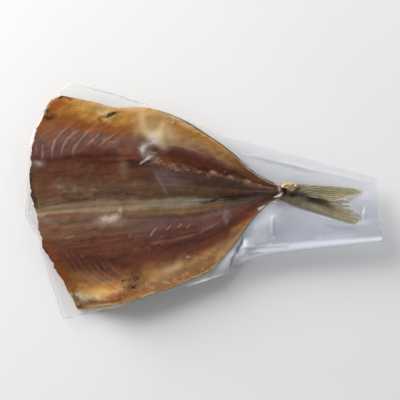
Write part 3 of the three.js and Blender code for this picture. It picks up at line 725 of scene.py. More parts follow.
class PackedFishSizes(bpy.types.PropertyGroup):
    """Sizes of the fish and its bag."""

    flesh_thickness: length("Flesh", "Greatest thickness of the fillets", 9.6)
    peduncle_thickness: length("Tail Root", "Thickness of the round stalk ahead of the tail fin", 6.2)
    fin_thickness: length("Tail Fin", "Thickness of the tail fin at its root", 1.7)
    skin_thickness: length("Skin", "Thickness of the skin under the flesh", 0.5)
    upper_curl: length("Upper Curl", "Rise of the upper belly edge off the surface", 6)
    lower_curl: length("Lower Curl", "Rise of the lower belly edge off the surface", 8.5)
    tail_lift: length("Tail Lift", "Rise of the tail off the surface", 4)
    rib_height: length("Rib Height", "How far a rib stands out of the flesh", 0.22)
    film_gap: length("Film Gap", "Mean gap between the flesh and the film over it", 0.45)
    rim_height: length("Rim Height", "Height of the bag's rim where the fish lies flat", 1.2)
    rays: IntProperty(
        name="Fin Rays", description="Rays in each lobe of the tail fin", default=8, min=3, max=20
    )


class PackedFishColours(bpy.types.PropertyGroup):
    """Colours of the fish and its bag."""

    spine: colour("Spine", "Pale strip along the midline", "#978066")
    grey_spine: colour("Grey Spine", "Greyer end of that strip, near the tail", "#968b77")
    tan_muscle: colour("Tan Muscle", "Back muscle beside the midline", "#7f5e49")
    brown_muscle: colour("Brown Muscle", "Back muscle further out", "#663f2d")
    olive_muscle: colour("Olive Muscle", "Back muscle towards the tail", "#6e503b")
    dark_seam: colour("Dark Seam", "Blood line between back and belly", "#4d271d")
    wine_flesh: colour("Wine Flesh", "Dark red flesh beside the seam", "#6b3f32")
    # Partly painted sheen: red flesh, and in two strokes the grey-mauve reflection of the film over it
    mauve_flesh_and_sheen: colour("Mauve Flesh", "Red flesh towards the tail", "#644843")
    rib_flesh: colour("Rib Flesh", "Thin flesh over the ribs", "#785446")
    amber: colour("Amber", "Flesh where the belly begins", "#92572e")
    deep_gold: colour("Deep Gold", "Belly flap", "#b47c34")
    belly_gold: colour("Belly Gold", "Oily edge of the belly flap", "#d5a660")
    pale_gold: colour("Pale Gold", "Dried edge towards the tail", "#a27c52")
    rust: colour("Rust", "Soy-stained edge", "#965b2c")
    ember: colour("Ember", "Brightest of the red stains", "#b05826")
    red_stain: colour("Red Stain", "Redder stain along the cuts", "#8e4827")
    sinew: colour("Sinew", "Torn sinews beside the blood line", "#8e6d55")
    umber: colour("Umber", "Dark flesh at the root of the tail", "#513d33")
    red_flesh: colour("Red Flesh", "Red flesh of the lower half", "#633c34")
    olive_streak: colour("Olive Streak", "Oily streak beside the midline", "#735c38")
    rosy_flesh: colour("Rosy Flesh", "Redder flesh of the lower half near the tail", "#82544b")
    peach: colour("Peach", "Paler rim of that edge", "#cb9c72")
    coral: colour("Coral", "Stained edge of the lower half near the tail", "#ba7553")
    deep_umber: colour("Deep Umber", "Dark flesh along the spine near the tail", "#3c332c")
    dull_gold: colour("Dull Gold", "Outer flesh of the lower half", "#8a6446")
    # Partly painted shade: dark tissue, and shade painted into clefts and under a crease of the film
    dark_line: colour("Dark Line", "Cleft between muscles and along the cut", "#3b2419")
    fleck: colour("Fleck", "Ends of fine bones and sinews", "#a88c74")
    # Partly painted highlight: along the upper belly edge it stands in for light caught by the film
    cream: colour("Cream", "Pale dried rim of the belly", "#dcbd87")
    rib_line: colour("Rib Line", "Rib that shows through", "#a3827c")
    fat: colour("Fat", "Pale fat and membrane", "#b3a08a")
    gut_lining: colour("Gut Lining", "Black scraps of the gut's lining", "#33261a")
    knob: colour("Knob", "Dried lump at the root of the tail fin", "#e0c196")
    fin_ray: colour("Fin Ray", "Rays of the tail fin", "#f0e6ba")
    fin_tan: colour("Tan Fin Ray", "Browner rays of the lower lobe", "#dac7a4")
    fin_web: colour("Fin Web", "Skin between the rays", "#746b4a")
    # Partly painted shade: dark root tissue, and shade painted at the root and in the gap between the lobes
    fin_root_and_shade: colour("Fin Root", "Dark root of the tail fin", "#2b2320")
    fin_stain: colour("Fin Stain", "Red stain at the fork of the tail fin", "#4e2c22")
    skin_back: colour("Back Skin", "Skin along the fish's back", "#39453f")
    skin_flank: colour("Flank Skin", "Silver skin of the flanks", "#9ba09a")
    skin_belly: colour("Belly Skin", "Skin of the belly", "#b7a582")
    film_tint: colour("Film Tint", "What one layer of film lets through", "#ffffff")
    film_doubled: colour("Doubled Film", "What the film lets through where it lies double", "#e1e2e6")
    # Partly painted shade: the dark tint of the film's creases and of its shaded rim
    film_fold_and_shade: colour("Film Fold", "What a fold of the film lets through", "#8c91a2")
    # Partly painted reflection: its blue-white also stands in for the film's reflection of the room and its
    # glints
    film_haze: colour("Film Haze", "Milky places of the film", "#ebeef7")
    # Painted sheen: colour of the milky marks that stand in for glare reflected off the film over the fish
    film_sheen: colour("Film Sheen", "Milky places where the film lies on the fish", "#f3d39c")
    floor: colour("Floor", "Surface under the bag", "#f3f3f3")


def curve_through(points):
    """Function of one number whose smooth curve passes through the points and doesn't overshoot them."""
    x, y = np.array(points, float).T
    secant = np.diff(y) / np.diff(x)
    before, after = secant[:-1], secant[1:]
    same_way = before * after > 0
    inner = np.where(same_way, 2 * before * after / np.where(same_way, before + after, 1), 0)
    slope = np.concatenate((secant[:1], inner, secant[-1:]))

    def at(value):
        value = np.clip(value, x[0], x[-1])
        i = np.clip(np.searchsorted(x, value, "right") - 1, 0, len(x) - 2)
        width = x[i + 1] - x[i]
        s = (value - x[i]) / width
        ends = y[i] * (1 + 2 * s) * (1 - s) ** 2 + y[i + 1] * s * s * (3 - 2 * s)
        return ends + width * s * (1 - s) * (slope[i] * (1 - s) - slope[i + 1] * s)

    return at


upper_edge = curve_through(UPPER_EDGE)
lower_edge = curve_through(LOWER_EDGE)
midline = curve_through(MIDLINE)
head_cut = curve_through(HEAD_CUT)
tail_end = curve_through(TAIL_END)
flesh_across = curve_through(FLESH_ACROSS)
flesh_along = curve_through(FLESH_ALONG)
upper_rim = curve_through(UPPER_RIM)
lower_rim = curve_through(LOWER_RIM)
left_margin = curve_through(LEFT_MARGIN)


def blend(low, high, share):
    """Value at a share of the way from low to high."""
    return low + (high - low) * share


def rise(value, start, end):
    """Smooth step from 0 at start to 1 at end."""
    s = np.clip((value - start) / (end - start), 0, 1)
    return s * s * (3 - 2 * s)


def band(value, comes, goes):
    """1 between two soft ends, 0 outside them."""
    return rise(value, *comes) * (1 - rise(value, *goes))


def soft_noise(x, y, seed):
    """Smooth random field from -1 to 1 with one bump to each unit of x and y."""
    table = np.random.default_rng(seed).uniform(-1, 1, (NOISE_CELLS, NOISE_CELLS))
    column, row = np.floor(x).astype(int), np.floor(y).astype(int)
    across, up = rise(x - column, 0, 1), rise(y - row, 0, 1)
    left, right = column % NOISE_CELLS, (column + 1) % NOISE_CELLS
    below, above = row % NOISE_CELLS, (row + 1) % NOISE_CELLS
    near = blend(table[left, below], table[right, below], across)
    far = blend(table[left, above], table[right, above], across)
    return blend(near, far, up)


def bumps(x, y, kinds, seed):
    """Heights of random bumps, all kinds added up."""
    fields = [tall * soft_noise(x / long, y / wide, seed + i) for i, (tall, long, wide) in enumerate(kinds)]
    return sum(fields)


def half_width(x, v):
    """Width of the fish from its midline to the belly edge on v's side."""
    return np.where(v < 0, midline(x) - lower_edge(x), upper_edge(x) - midline(x))


def place_across(x, v):
    """The y of a place in the fish."""
    return blend(midline(x), np.where(v < 0, lower_edge(x), upper_edge(x)), np.abs(v))


def across_at(x, y):
    """The v of a place in plan, past 1 or -1 outside the belly edges."""
    side = y - midline(x)
    return side / half_width(x, side)


def flow_share(x):
    """Share of the flow map's run at a place along the fish."""
    return (x - FLOW_START) / FLOW_LENGTH


def distance_to(x, y, start, end):
    """Distance from each place to a straight run, and the share of the run where it is nearest."""
    run_x, run_y = end[0] - start[0], end[1] - start[1]
    share = ((x - start[0]) * run_x + (y - start[1]) * run_y) / (run_x**2 + run_y**2)
    share = np.clip(share, 0, 1)
    return np.hypot(x - start[0] - share * run_x, y - start[1] - share * run_y), share


def wander(x, y, seed):
    """Places shifted by a fraction of a millimetre, so that no stroke is straight or smooth."""
    shift_x, shift_y = 0, 0
    for i, (size, most_x, most_y) in enumerate(WANDER):
        shift_x = shift_x + most_x * soft_noise(x / size, y / size, seed + i)
        shift_y = shift_y + most_y * soft_noise(x / size, y / size, seed + len(WANDER) + i)
    return x + shift_x, y + shift_y


def marks(x, y, runs, layered=False):
    """Strongest of the soft strokes at each place, or all in layers; long ones fade towards their ends."""
    strongest = np.zeros_like(x)
    for path, half, strength in runs:
        lengths = [math.dist(a, b) for a, b in zip(path, path[1:])]
        total = sum(lengths)
        nearest, place, done = np.full_like(x, np.inf), np.zeros_like(x), 0
        for a, b, run in zip(path, path[1:], lengths):
            off, share = distance_to(x, y, a, b)
            place = np.where(off < nearest, (done + share * run) / total, place)
            nearest = np.minimum(off, nearest)
            done += run
        full = np.clip(STROKE_COMES * place * (1 - place), 0, 1)
        taper = min(1, total / (SLENDER_LENGTH * half)) * (1 - full)
        width = half * (1 - END_NARROWS * taper)
        stroke = strength * (1 - taper) * np.exp(-((nearest / width) ** 2))
        strongest = 1 - (1 - strongest) * (1 - stroke) if layered else np.maximum(strongest, stroke)
    return strongest


def within(x, y, corners, soft):
    """1 inside an outward-rounded shape whose corners run clockwise, falling to 0 over a soft edge."""
    inner = np.full_like(x, np.inf)
    for a, b in zip(corners, corners[1:] + corners[:1]):
        run = math.hypot(b[0] - a[0], b[1] - a[1])
        side = ((b[1] - a[1]) * (x - a[0]) - (b[0] - a[0]) * (y - a[1])) / run
        inner = np.minimum(inner, side)
    return rise(inner, -soft, soft)


def lower_ribs():
    """Runs of the ribs that show faintly in the lower half, fanned out by equal steps."""
    first, change = LOWER_RIB_STRENGTH
    runs = []
    for i in range(LOWER_RIBS):
        path = [(x + i * step_x, y + i * step_y) for (x, y), (step_x, step_y) in LOWER_RIB_PATH]
        runs.append((path, LOWER_RIB_HALF, first + i * change))
    return runs


def strewn(path, count, spread, reach, half, strength, seed):
    """Runs of short flecks at random places along a path."""
    draw = np.random.default_rng(seed)
    share = np.linspace(0, 1, len(path))
    runs = []
    for place in draw.uniform(0, 1, count):
        x, y = (np.interp(place, share, line) + draw.normal(0, spread) for line in zip(*path))
        turn, reached = draw.uniform(-1, 0.6), reach * draw.uniform(0.35, 1)
        step = (reached * math.cos(turn), reached * math.sin(turn))
        ends = [(x - step[0], y - step[1]), (x + step[0], y + step[1])]
        runs.append((ends, half * draw.uniform(0.6, 1.2), strength * draw.uniform(0.4, 1)))
    return runs


class FishForm:
    """Heights of the opened fish over the surface that it lies on, in millimetres."""

    flat_share = 0.3
    curl_power = 1.6
    peduncle_rounding = 0.85
    corner_ease = 0.9

    def __init__(self, sizes):
        self.flesh = sizes.flesh_thickness / MM
        self.peduncle = sizes.peduncle_thickness / MM
        self.fin = sizes.fin_thickness / MM
        self.skin = sizes.skin_thickness / MM
        self.upper_curl = sizes.upper_curl / MM
        self.lower_curl = sizes.lower_curl / MM
        self.tail_lift = sizes.tail_lift / MM
        self.gap = sizes.film_gap / MM

    def lift(self, x, v):
        """Height of the skin side."""
        out = np.clip((np.abs(v) - self.flat_share) / (1 - self.flat_share), 0, 1)
        eased = self.lower_curl * (1 - self.corner_ease * (1 - rise(x, *CORNER_EASES)))
        curl = np.where(v < 0, eased, self.upper_curl) * out**self.curl_power
        return curl * (1 - rise(x, *CURL_FADES)) + self.tail_lift * rise(x, *TAIL_RISES)

    def thickness(self, x, v):
        """Thickness of the whole fish: fillets, round peduncle, thin tail fin."""
        fillet = self.flesh * flesh_across(np.abs(v)) * flesh_along(x)
        peduncle = self.peduncle * np.sqrt(1 - self.peduncle_rounding * np.clip(v, -1, 1) ** 2)
        body = blend(fillet, peduncle, rise(x, *TO_PEDUNCLE))
        return blend(body, self.fin, rise(x, *TO_FIN))

    def top(self, x, v):
        """Height that the film keeps over the fish."""
        return self.lift(x, v) + self.thickness(x, v)


def closed_sheet(name, grids):
    """Closed sheet in its own plane, from -1 to 1 in x and y: one grid at z 1 bridged to one at z 0."""
    bpy.ops.object.select_all(action="DESELECT")
    (columns, rows), (lower_columns, lower_rows) = grids
    bpy.ops.mesh.primitive_grid_add(x_subdivisions=lower_columns, y_subdivisions=lower_rows, size=2)
    piece = bpy.context.object
    bpy.ops.object.mode_set(mode="EDIT")
    bpy.ops.mesh.primitive_grid_add(x_subdivisions=columns, y_subdivisions=rows, size=2, location=(0, 0, 1))
    bpy.ops.mesh.select_all(action="DESELECT")
    bpy.ops.mesh.select_mode(type="EDGE")
    bpy.ops.mesh.select_non_manifold()
    bpy.ops.mesh.bridge_edge_loops()
    bpy.ops.mesh.select_all(action="SELECT")
    bpy.ops.mesh.normals_make_consistent(inside=False)
    bpy.ops.object.mode_set(mode="OBJECT")
    piece.name = piece.data.name = name
    return piece


def points_of(piece):
    """The x, y and z of a piece's points."""
    places = np.empty(len(piece.data.vertices) * 3)
    piece.data.vertices.foreach_get("co", places)
    return places.reshape(-1, 3).T


def sheet_places(piece):
    """Share along a closed sheet, place across it from -1 to 1 and if it is on top, for each point."""
    x, y, z = points_of(piece)
    return (x + 1) / 2, y, z > 0.5


def set_points(piece, x, y, z):
    """Moves a piece's points to places in millimetres."""
    places = np.stack((x, y, z), axis=1) * MM
    piece.data.vertices.foreach_set("co", places.ravel())
    piece.data.update()


def set_mask(piece, name, values):
    """Keeps one number for each point of a piece under a name that its material reads."""
    mask = piece.data.attributes.new(name, "FLOAT", "POINT")
    mask.data.foreach_set("value", np.asarray(values, np.float32))


def set_flow(piece, x, v):
    """UV map that follows the fish: along it from the places' x, across it from their v."""
    corners = np.empty(len(piece.data.loops), np.int32)
    piece.data.loops.foreach_get("vertex_index", corners)
    shares = np.stack((flow_share(x)[corners], ((v + 1) / 2)[corners]), axis=1)
    flow = piece.data.uv_layers.new(name="flow")
    flow.uv.foreach_set("vector", shares.astype(np.float32).ravel())


def finish_piece(piece, material, sharp_degrees=60):
    """Smooths a modelled piece, gives it its material and ties it to the frame."""
    bpy.ops.object.select_all(action="DESELECT")
    bpy.context.view_layer.objects.active = piece
    piece.select_set(True)
    bpy.ops.object.shade_smooth_by_angle(angle=math.radians(sharp_degrees))
    piece.data.materials.clear()
    piece.data.materials.append(material)
    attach(piece, "root")
    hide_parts(NODE)


class Finish:
    """Node tree of a material, or of the studio's glow, and the one way to add a node to it."""

    def __init__(self, owner):
        self.owner = owner
        owner.use_nodes = True
        self.tree = owner.node_tree
        self.tree.nodes.clear()

    def add(self, kind, sockets=None, stops=None, output=None, **settings):
        """Adds a node with its settings and links, and returns its named or first live output."""
        node = self.tree.nodes.new("ShaderNode" + kind)
        for key, value in settings.items():
            setattr(node, key, value)
        for socket, value in (sockets or {}).items():
            if isinstance(value, bpy.types.NodeSocket):
                self.tree.links.new(value, node.inputs[socket])
            else:
                node.inputs[socket].default_value = value
        for i, (place, shade) in enumerate(stops or ()):
            marks_so_far = node.color_ramp.elements
            mark = marks_so_far[i] if i < 1 else marks_so_far.new(place)
            mark.position = place
            mark.color = (*shade, 1)
        if stops:
            node.color_ramp.elements.remove(node.color_ramp.elements[-1])
        if output:
            return node.outputs[output]
        return next((o for o in node.outputs if o.enabled), None)

    def show(self, surface, ending="OutputMaterial"):
        """Ends the tree with its shader, and returns what the tree belongs to."""
        self.add(ending, {"Surface": surface})
        return self.owner


def opaque(shade):
    """Colour with full alpha, as a node's socket takes it."""
    return (*shade, 1)


def spaced(millimetres):
    """Scale of a pattern whose features are so many millimetres apart."""
    return 1 / (millimetres * MM)


def cured_flesh(palette):
    """Fish flesh cured in soy and half dried: oily, darkly stained, its fibres drawn along the fish.

    Some of its marks paint in shade, sheen and highlights.
    """
    finish = Finish(bpy.data.materials.new("soy-cured fish flesh"))
    flow = finish.add("UVMap", uv_map="flow")
    place = finish.add("TexCoord", output="Object")
    along = finish.add("SeparateXYZ", {"Vector": flow}, output="X")
    across = finish.add("SeparateXYZ", {"Vector": flow}, output="Y")
    side = finish.add("MapRange", {"Value": across, "From Min": 0.49, "From Max": 0.51})
    signed = finish.add("Math", {0: across, 1: 2.0, 2: -1.0}, operation="MULTIPLY_ADD")
    out = finish.add("Math", {0: signed}, operation="ABSOLUTE")

    # Zones wander by a few millimetres and are streaked along the fish, as muscle is
    grain = finish.add("Mapping", {"Vector": flow, "Scale": MUSCLE_GRAIN})
    back_fibre = finish.add("TexNoise", {"Vector": grain, "Scale": 1.0, "Detail": 5.0, "Roughness": 0.65})
    drift = finish.add("TexNoise", {"Vector": place, "Scale": spaced(12), "Detail": 2.5, "Roughness": 0.5})
    zone = finish.add("Math", {0: drift, 1: ZONE_DRIFT, 2: -ZONE_DRIFT / 2}, operation="MULTIPLY_ADD")
    zone = finish.add("Math", {0: out, 1: zone})
    streak = {0: back_fibre, 1: FIBRE_STREAK, 2: -FIBRE_STREAK / 2}
    streak = finish.add("Math", streak, operation="MULTIPLY_ADD")
    zone = finish.add("Math", {0: zone, 1: streak})

    middle, rear = (
        finish.add(
            "MapRange",
            {"Value": along, "From Min": flow_share(low), "From Max": flow_share(high)},
            interpolation_type="SMOOTHSTEP",
        )
        for low, high in (MIDDLE_STARTS, REAR_STARTS)
    )

    def half(zones):
        """Zones of one half of the fish, from front to rear."""
        named = [[(at, getattr(palette, name)) for at, name in stops] for stops in zones]
        front, centre, back = (finish.add("ValToRGB", {"Fac": zone}, stops=stops) for stops in named)
        front = finish.add("Mix", {SHARE: middle, FROM: front, TO: centre}, data_type="RGBA")
        return finish.add("Mix", {SHARE: rear, FROM: front, TO: back}, data_type="RGBA")

    upper, lower = half(UPPER_ZONES), half(LOWER_ZONES)
    shade = finish.add("Mix", {SHARE: side, FROM: lower, TO: upper}, data_type="RGBA")

    # Fibres a millimetre or two apart run along the back muscle, and across the belly
    mirrored = finish.add("CombineXYZ", {"X": along, "Y": out})
    slant = {"Vector": mirrored, "Rotation": BELLY_TURN, "Scale": BELLY_GRAIN}
    grain = finish.add("Mapping", slant, vector_type="TEXTURE")
    belly_fibre = finish.add("TexNoise", {"Vector": grain, "Scale": 1.0, "Detail": 4.0, "Roughness": 0.6})
    belly = finish.add("MapRange", {"Value": zone, "From Min": 0.5, "From Max": 0.62})
    fibre = finish.add("Mix", {"Factor": belly, "A": back_fibre, "B": belly_fibre}, data_type="FLOAT")
    contrast = finish.add("MapRange", {"Value": belly, "To Min": 0.4, "To Max": 0.95})
    fibre_light = finish.add("Math", {0: fibre, 1: -0.5})
    fibre_light = finish.add("Math", {0: fibre_light, 1: contrast, 2: 1.0}, operation="MULTIPLY_ADD")
    shade = finish.add("VectorMath", {0: shade, "Scale": fibre_light}, operation="SCALE")
    blotch = finish.add("TexNoise", {"Vector": place, "Scale": spaced(5), "Detail": 4.0, "Roughness": 0.65})
    blotch_light = finish.add(
        "MapRange", {"Value": blotch, "From Min": 0.3, "From Max": 0.7, "To Min": 0.85, "To Max": 1.15}
    )
    shade = finish.add("VectorMath", {0: shade, "Scale": blotch_light}, operation="SCALE")

    # The cure has taken unevenly: warm and cool clouds, and rusty ones on the belly
    cloud = finish.add("TexNoise", {"Vector": place, "Scale": spaced(8), "Detail": 3.0, "Roughness": 0.6})
    tint = finish.add("ValToRGB", {"Fac": cloud}, stops=[(0.34, COOL_CLOUD), (0.66, WARM_CLOUD)])
    shade = finish.add("VectorMath", {0: shade, 1: tint}, operation="MULTIPLY")
    rusty = finish.add("TexNoise", {"Vector": place, "Scale": spaced(6), "Detail": 5.0, "Roughness": 0.7})
    rusty = finish.add("MapRange", {"Value": rusty, "From Min": 0.5, "From Max": 0.68, "To Max": 0.5})
    outer = finish.add("MapRange", {"Value": zone, "From Min": 0.7, "From Max": 0.82})
    rusty = finish.add("Math", {0: rusty, 1: outer}, operation="MULTIPLY")
    shade = finish.add("Mix", {SHARE: rusty, FROM: shade, TO: opaque(palette.rust)}, data_type="RGBA")

    # Thin pale walls between the flakes of muscle
    bands = finish.add("Mapping", {"Vector": mirrored, "Scale": FLAKE_GRAIN})
    wall = finish.add("TexNoise", {"Vector": bands, "Scale": 1.0, "Detail": 3.0, "Distortion": 0.8})
    wall = finish.add("Math", {0: wall, 1: 0.5}, operation="SUBTRACT")
    wall = finish.add("Math", {0: wall}, operation="ABSOLUTE")
    wall = finish.add("MapRange", {"Value": wall, "From Max": 0.012, "To Min": 0.16, "To Max": 0.0})
    shade = finish.add("Mix", {SHARE: wall, FROM: shade, TO: opaque(palette.fleck)}, data_type="RGBA")

    fine = finish.add("TexNoise", {"Vector": place, "Scale": spaced(1.3), "Detail": 4.0, "Roughness": 0.7})
    fine_light = finish.add(
        "MapRange", {"Value": fine, "From Min": 0.3, "From Max": 0.7, "To Min": 0.91, "To Max": 1.1}
    )
    shade = finish.add("VectorMath", {0: shade, "Scale": fine_light}, operation="SCALE")

    # Each kind of mark lies over the last, its edge broken up by the grain; some paint in shade, sheen and
    # highlights
    speck = finish.add("TexNoise", {"Vector": place, "Scale": spaced(1.8), "Detail": 3.0, "Roughness": 0.6})
    for name in STROKES:
        mask = finish.add("Attribute", attribute_name=name, output="Fac")
        if name in TORN:
            cover = finish.add("Math", {0: speck, 1: TORN_EDGE, 2: -TORN_EDGE / 2}, operation="MULTIPLY_ADD")
            cover = finish.add("Math", {0: cover, 1: mask})
            cover = finish.add("MapRange", {"Value": cover, "From Min": 0.2, "From Max": 1.0})
        else:
            cover = finish.add("Math", {0: speck, 1: 2.0}, operation="MULTIPLY")
            cover = finish.add("Math", {0: cover, 1: mask}, operation="MULTIPLY", use_clamp=True)
        mark = opaque(getattr(palette, name))
        shade = finish.add("Mix", {SHARE: cover, FROM: shade, TO: mark}, data_type="RGBA")

    knob = finish.add("Attribute", attribute_name="knob", output="Fac")
    shade = finish.add("Mix", {SHARE: knob, FROM: shade, TO: opaque(palette.knob)}, data_type="RGBA")
    gloss = finish.add("MapRange", {"Value": blotch, "To Min": 0.3, "To Max": 0.6})
    height = finish.add("Math", {0: fibre, 1: 0.8, 2: fine}, operation="MULTIPLY_ADD")
    bump = finish.add("Bump", {"Height": height, "Strength": 0.25, "Distance": 0.4 * MM})
    surface = {"Base Color": shade, "Roughness": gloss, "Normal": bump, "Specular IOR Level": 0.12}
    return finish.show(finish.add("BsdfPrincipled", surface))


def fish_skin(palette):
    """Dried skin with fine scales: dark back, silver flanks, belly stained by the cure."""
    finish = Finish(bpy.data.materials.new("dried mackerel skin"))
    flow = finish.add("UVMap", uv_map="flow")
    place = finish.add("TexCoord", output="Object")
    across = finish.add("SeparateXYZ", {"Vector": flow}, output="Y")
    signed = finish.add("Math", {0: across, 1: 2.0, 2: -1.0}, operation="MULTIPLY_ADD")
    out = finish.add("Math", {0: signed}, operation="ABSOLUTE")
    drift = finish.add("TexNoise", {"Vector": place, "Scale": spaced(9), "Detail": 4.0})
    zone = finish.add("Math", {0: drift, 1: ZONE_DRIFT, 2: -ZONE_DRIFT / 2}, operation="MULTIPLY_ADD")
    zone = finish.add("Math", {0: out, 1: zone})
    stops = [
        (0, palette.skin_back), (0.18, palette.skin_back), (0.42, palette.skin_flank),
        (0.75, palette.skin_flank), (0.95, palette.skin_belly),
    ]
    shade = finish.add("ValToRGB", {"Fac": zone}, stops=stops)
    scales = finish.add("TexVoronoi", {"Vector": place, "Scale": spaced(1.8)})
    light = finish.add("MapRange", {"Value": scales, "From Max": 0.8, "To Min": 0.85, "To Max": 1.1})
    shade = finish.add("VectorMath", {0: shade, "Scale": light}, operation="SCALE")
    bump = finish.add("Bump", {"Height": scales, "Strength": 0.3, "Distance": 0.2 * MM})
    rim = finish.add("Attribute", attribute_name="rim", output="Fac")
    shade = finish.add("Mix", {SHARE: rim, FROM: shade, TO: opaque(palette.gut_lining)}, data_type="RGBA")
    surface = {"Base Color": shade, "Metallic": 0.25, "Roughness": 0.35, "Normal": bump}
    return finish.show(finish.add("BsdfPrincipled", surface))


def fin_finish(palette):
    """Dried tail fin: horny olive rays over a darker web, nearly black at the root, partly by painted shade.
    """
    finish = Finish(bpy.data.materials.new("dried fin rays"))
    place = finish.add("TexCoord", output="Object")
    ray = finish.add("Attribute", attribute_name="ray", output="Fac")
    root = finish.add("Attribute", attribute_name="root", output="Fac")
    grain = finish.add("TexNoise", {"Vector": place, "Scale": spaced(2.5), "Detail": 4.0})
    light = finish.add(
        "MapRange", {"Value": grain, "From Min": 0.3, "From Max": 0.7, "To Min": 0.75, "To Max": 1.2}
    )
    tone = finish.add("Attribute", attribute_name="tone", output="Fac")
    horns = {SHARE: tone, FROM: opaque(palette.fin_ray), TO: opaque(palette.fin_tan)}
    horn = finish.add("Mix", horns, data_type="RGBA")
    shade = finish.add("Mix", {SHARE: ray, FROM: opaque(palette.fin_web), TO: horn}, data_type="RGBA")
    shade = finish.add("VectorMath", {0: shade, "Scale": light}, operation="SCALE")
    shade = finish.add("Mix", {SHARE: root, FROM: shade, TO: opaque(palette.fin_root_and_shade)}, data_type="RGBA")
    stain = finish.add("Attribute", attribute_name="fin_stain", output="Fac")
    shade = finish.add("Mix", {SHARE: stain, FROM: shade, TO: opaque(palette.fin_stain)}, data_type="RGBA")
    bump = finish.add("Bump", {"Height": grain, "Strength": 0.3, "Distance": 0.2 * MM})
    surface = {"Base Color": shade, "Roughness": 0.45, "Normal": bump}
    return finish.show(finish.add("BsdfPrincipled", surface))


def clear_film(palette):
    """Cast polypropylene packing film: clear, glossy on its creases, milky where it clings; its milky places
    also carry painted sheen, glints and highlights, and its fold tint paints shade into the creases.
    """
    finish = Finish(bpy.data.materials.new("clear polypropylene film"))
    # Milkiness, which also carries the painted sheen, glints and highlights
    milky = finish.add("Attribute", attribute_name="haze_and_sheen", output="Fac")
    facing = finish.add("LayerWeight", {"Blend": 0.5}, output="Facing")
    grazing = finish.add("Math", {0: facing, 1: GRAZING_POWER}, operation="POWER")
    mirror = finish.add("Math", {0: grazing, 1: GRAZING_SHARE, 2: MIRROR_SHARE}, operation="MULTIPLY_ADD")
    doubled = finish.add("Attribute", attribute_name="doubled", output="Fac")
    layers = finish.add("Math", {0: doubled, 1: SECOND_MIRROR, 2: 1.0}, operation="MULTIPLY_ADD")
    mirror = finish.add("Math", {0: mirror, 1: layers}, operation="MULTIPLY", use_clamp=True)
    tints = {SHARE: doubled, FROM: opaque(palette.film_tint), TO: opaque(palette.film_doubled)}
    tint = finish.add("Mix", tints, data_type="RGBA")
    fold = finish.add("Attribute", attribute_name="fold", output="Fac")
    tint = finish.add("Mix", {SHARE: fold, FROM: tint, TO: opaque(palette.film_fold_and_shade)}, data_type="RGBA")
    through = finish.add("BsdfTransparent", {"Color": tint})
    gloss = finish.add("BsdfGlossy", {"Color": MIRROR_COLOUR, "Roughness": MIRROR_ROUGHNESS})
    film = finish.add("MixShader", {0: mirror, 1: through, 2: gloss})
    # The milky share, bluish where the film is free and warm over the fish, carries the painted sheen and
    # glints
    over_fish = finish.add("Attribute", attribute_name="over_fish", output="Fac")
    milk = {SHARE: over_fish, FROM: opaque(palette.film_haze), TO: opaque(palette.film_sheen)}
    cloud = finish.add("BsdfDiffuse", {"Color": finish.add("Mix", milk, data_type="RGBA")})
    return finish.show(finish.add("MixShader", {0: milky, 1: film, 2: cloud}))


def floor_finish(palette):
    """Matt white tabletop with the faintest unevenness."""
    finish = Finish(bpy.data.materials.new("matt white tabletop"))
    place = finish.add("TexCoord", output="Object")
    grain = finish.add("TexNoise", {"Vector": place, "Scale": spaced(60), "Detail": 2.0})
    light = finish.add("MapRange", {"Value": grain, "To Min": 0.98, "To Max": 1.02})
    shade = finish.add("VectorMath", {0: palette.floor, "Scale": light}, operation="SCALE")
    return finish.show(finish.add("BsdfPrincipled", {"Base Color": shade, "Roughness": 0.7}))


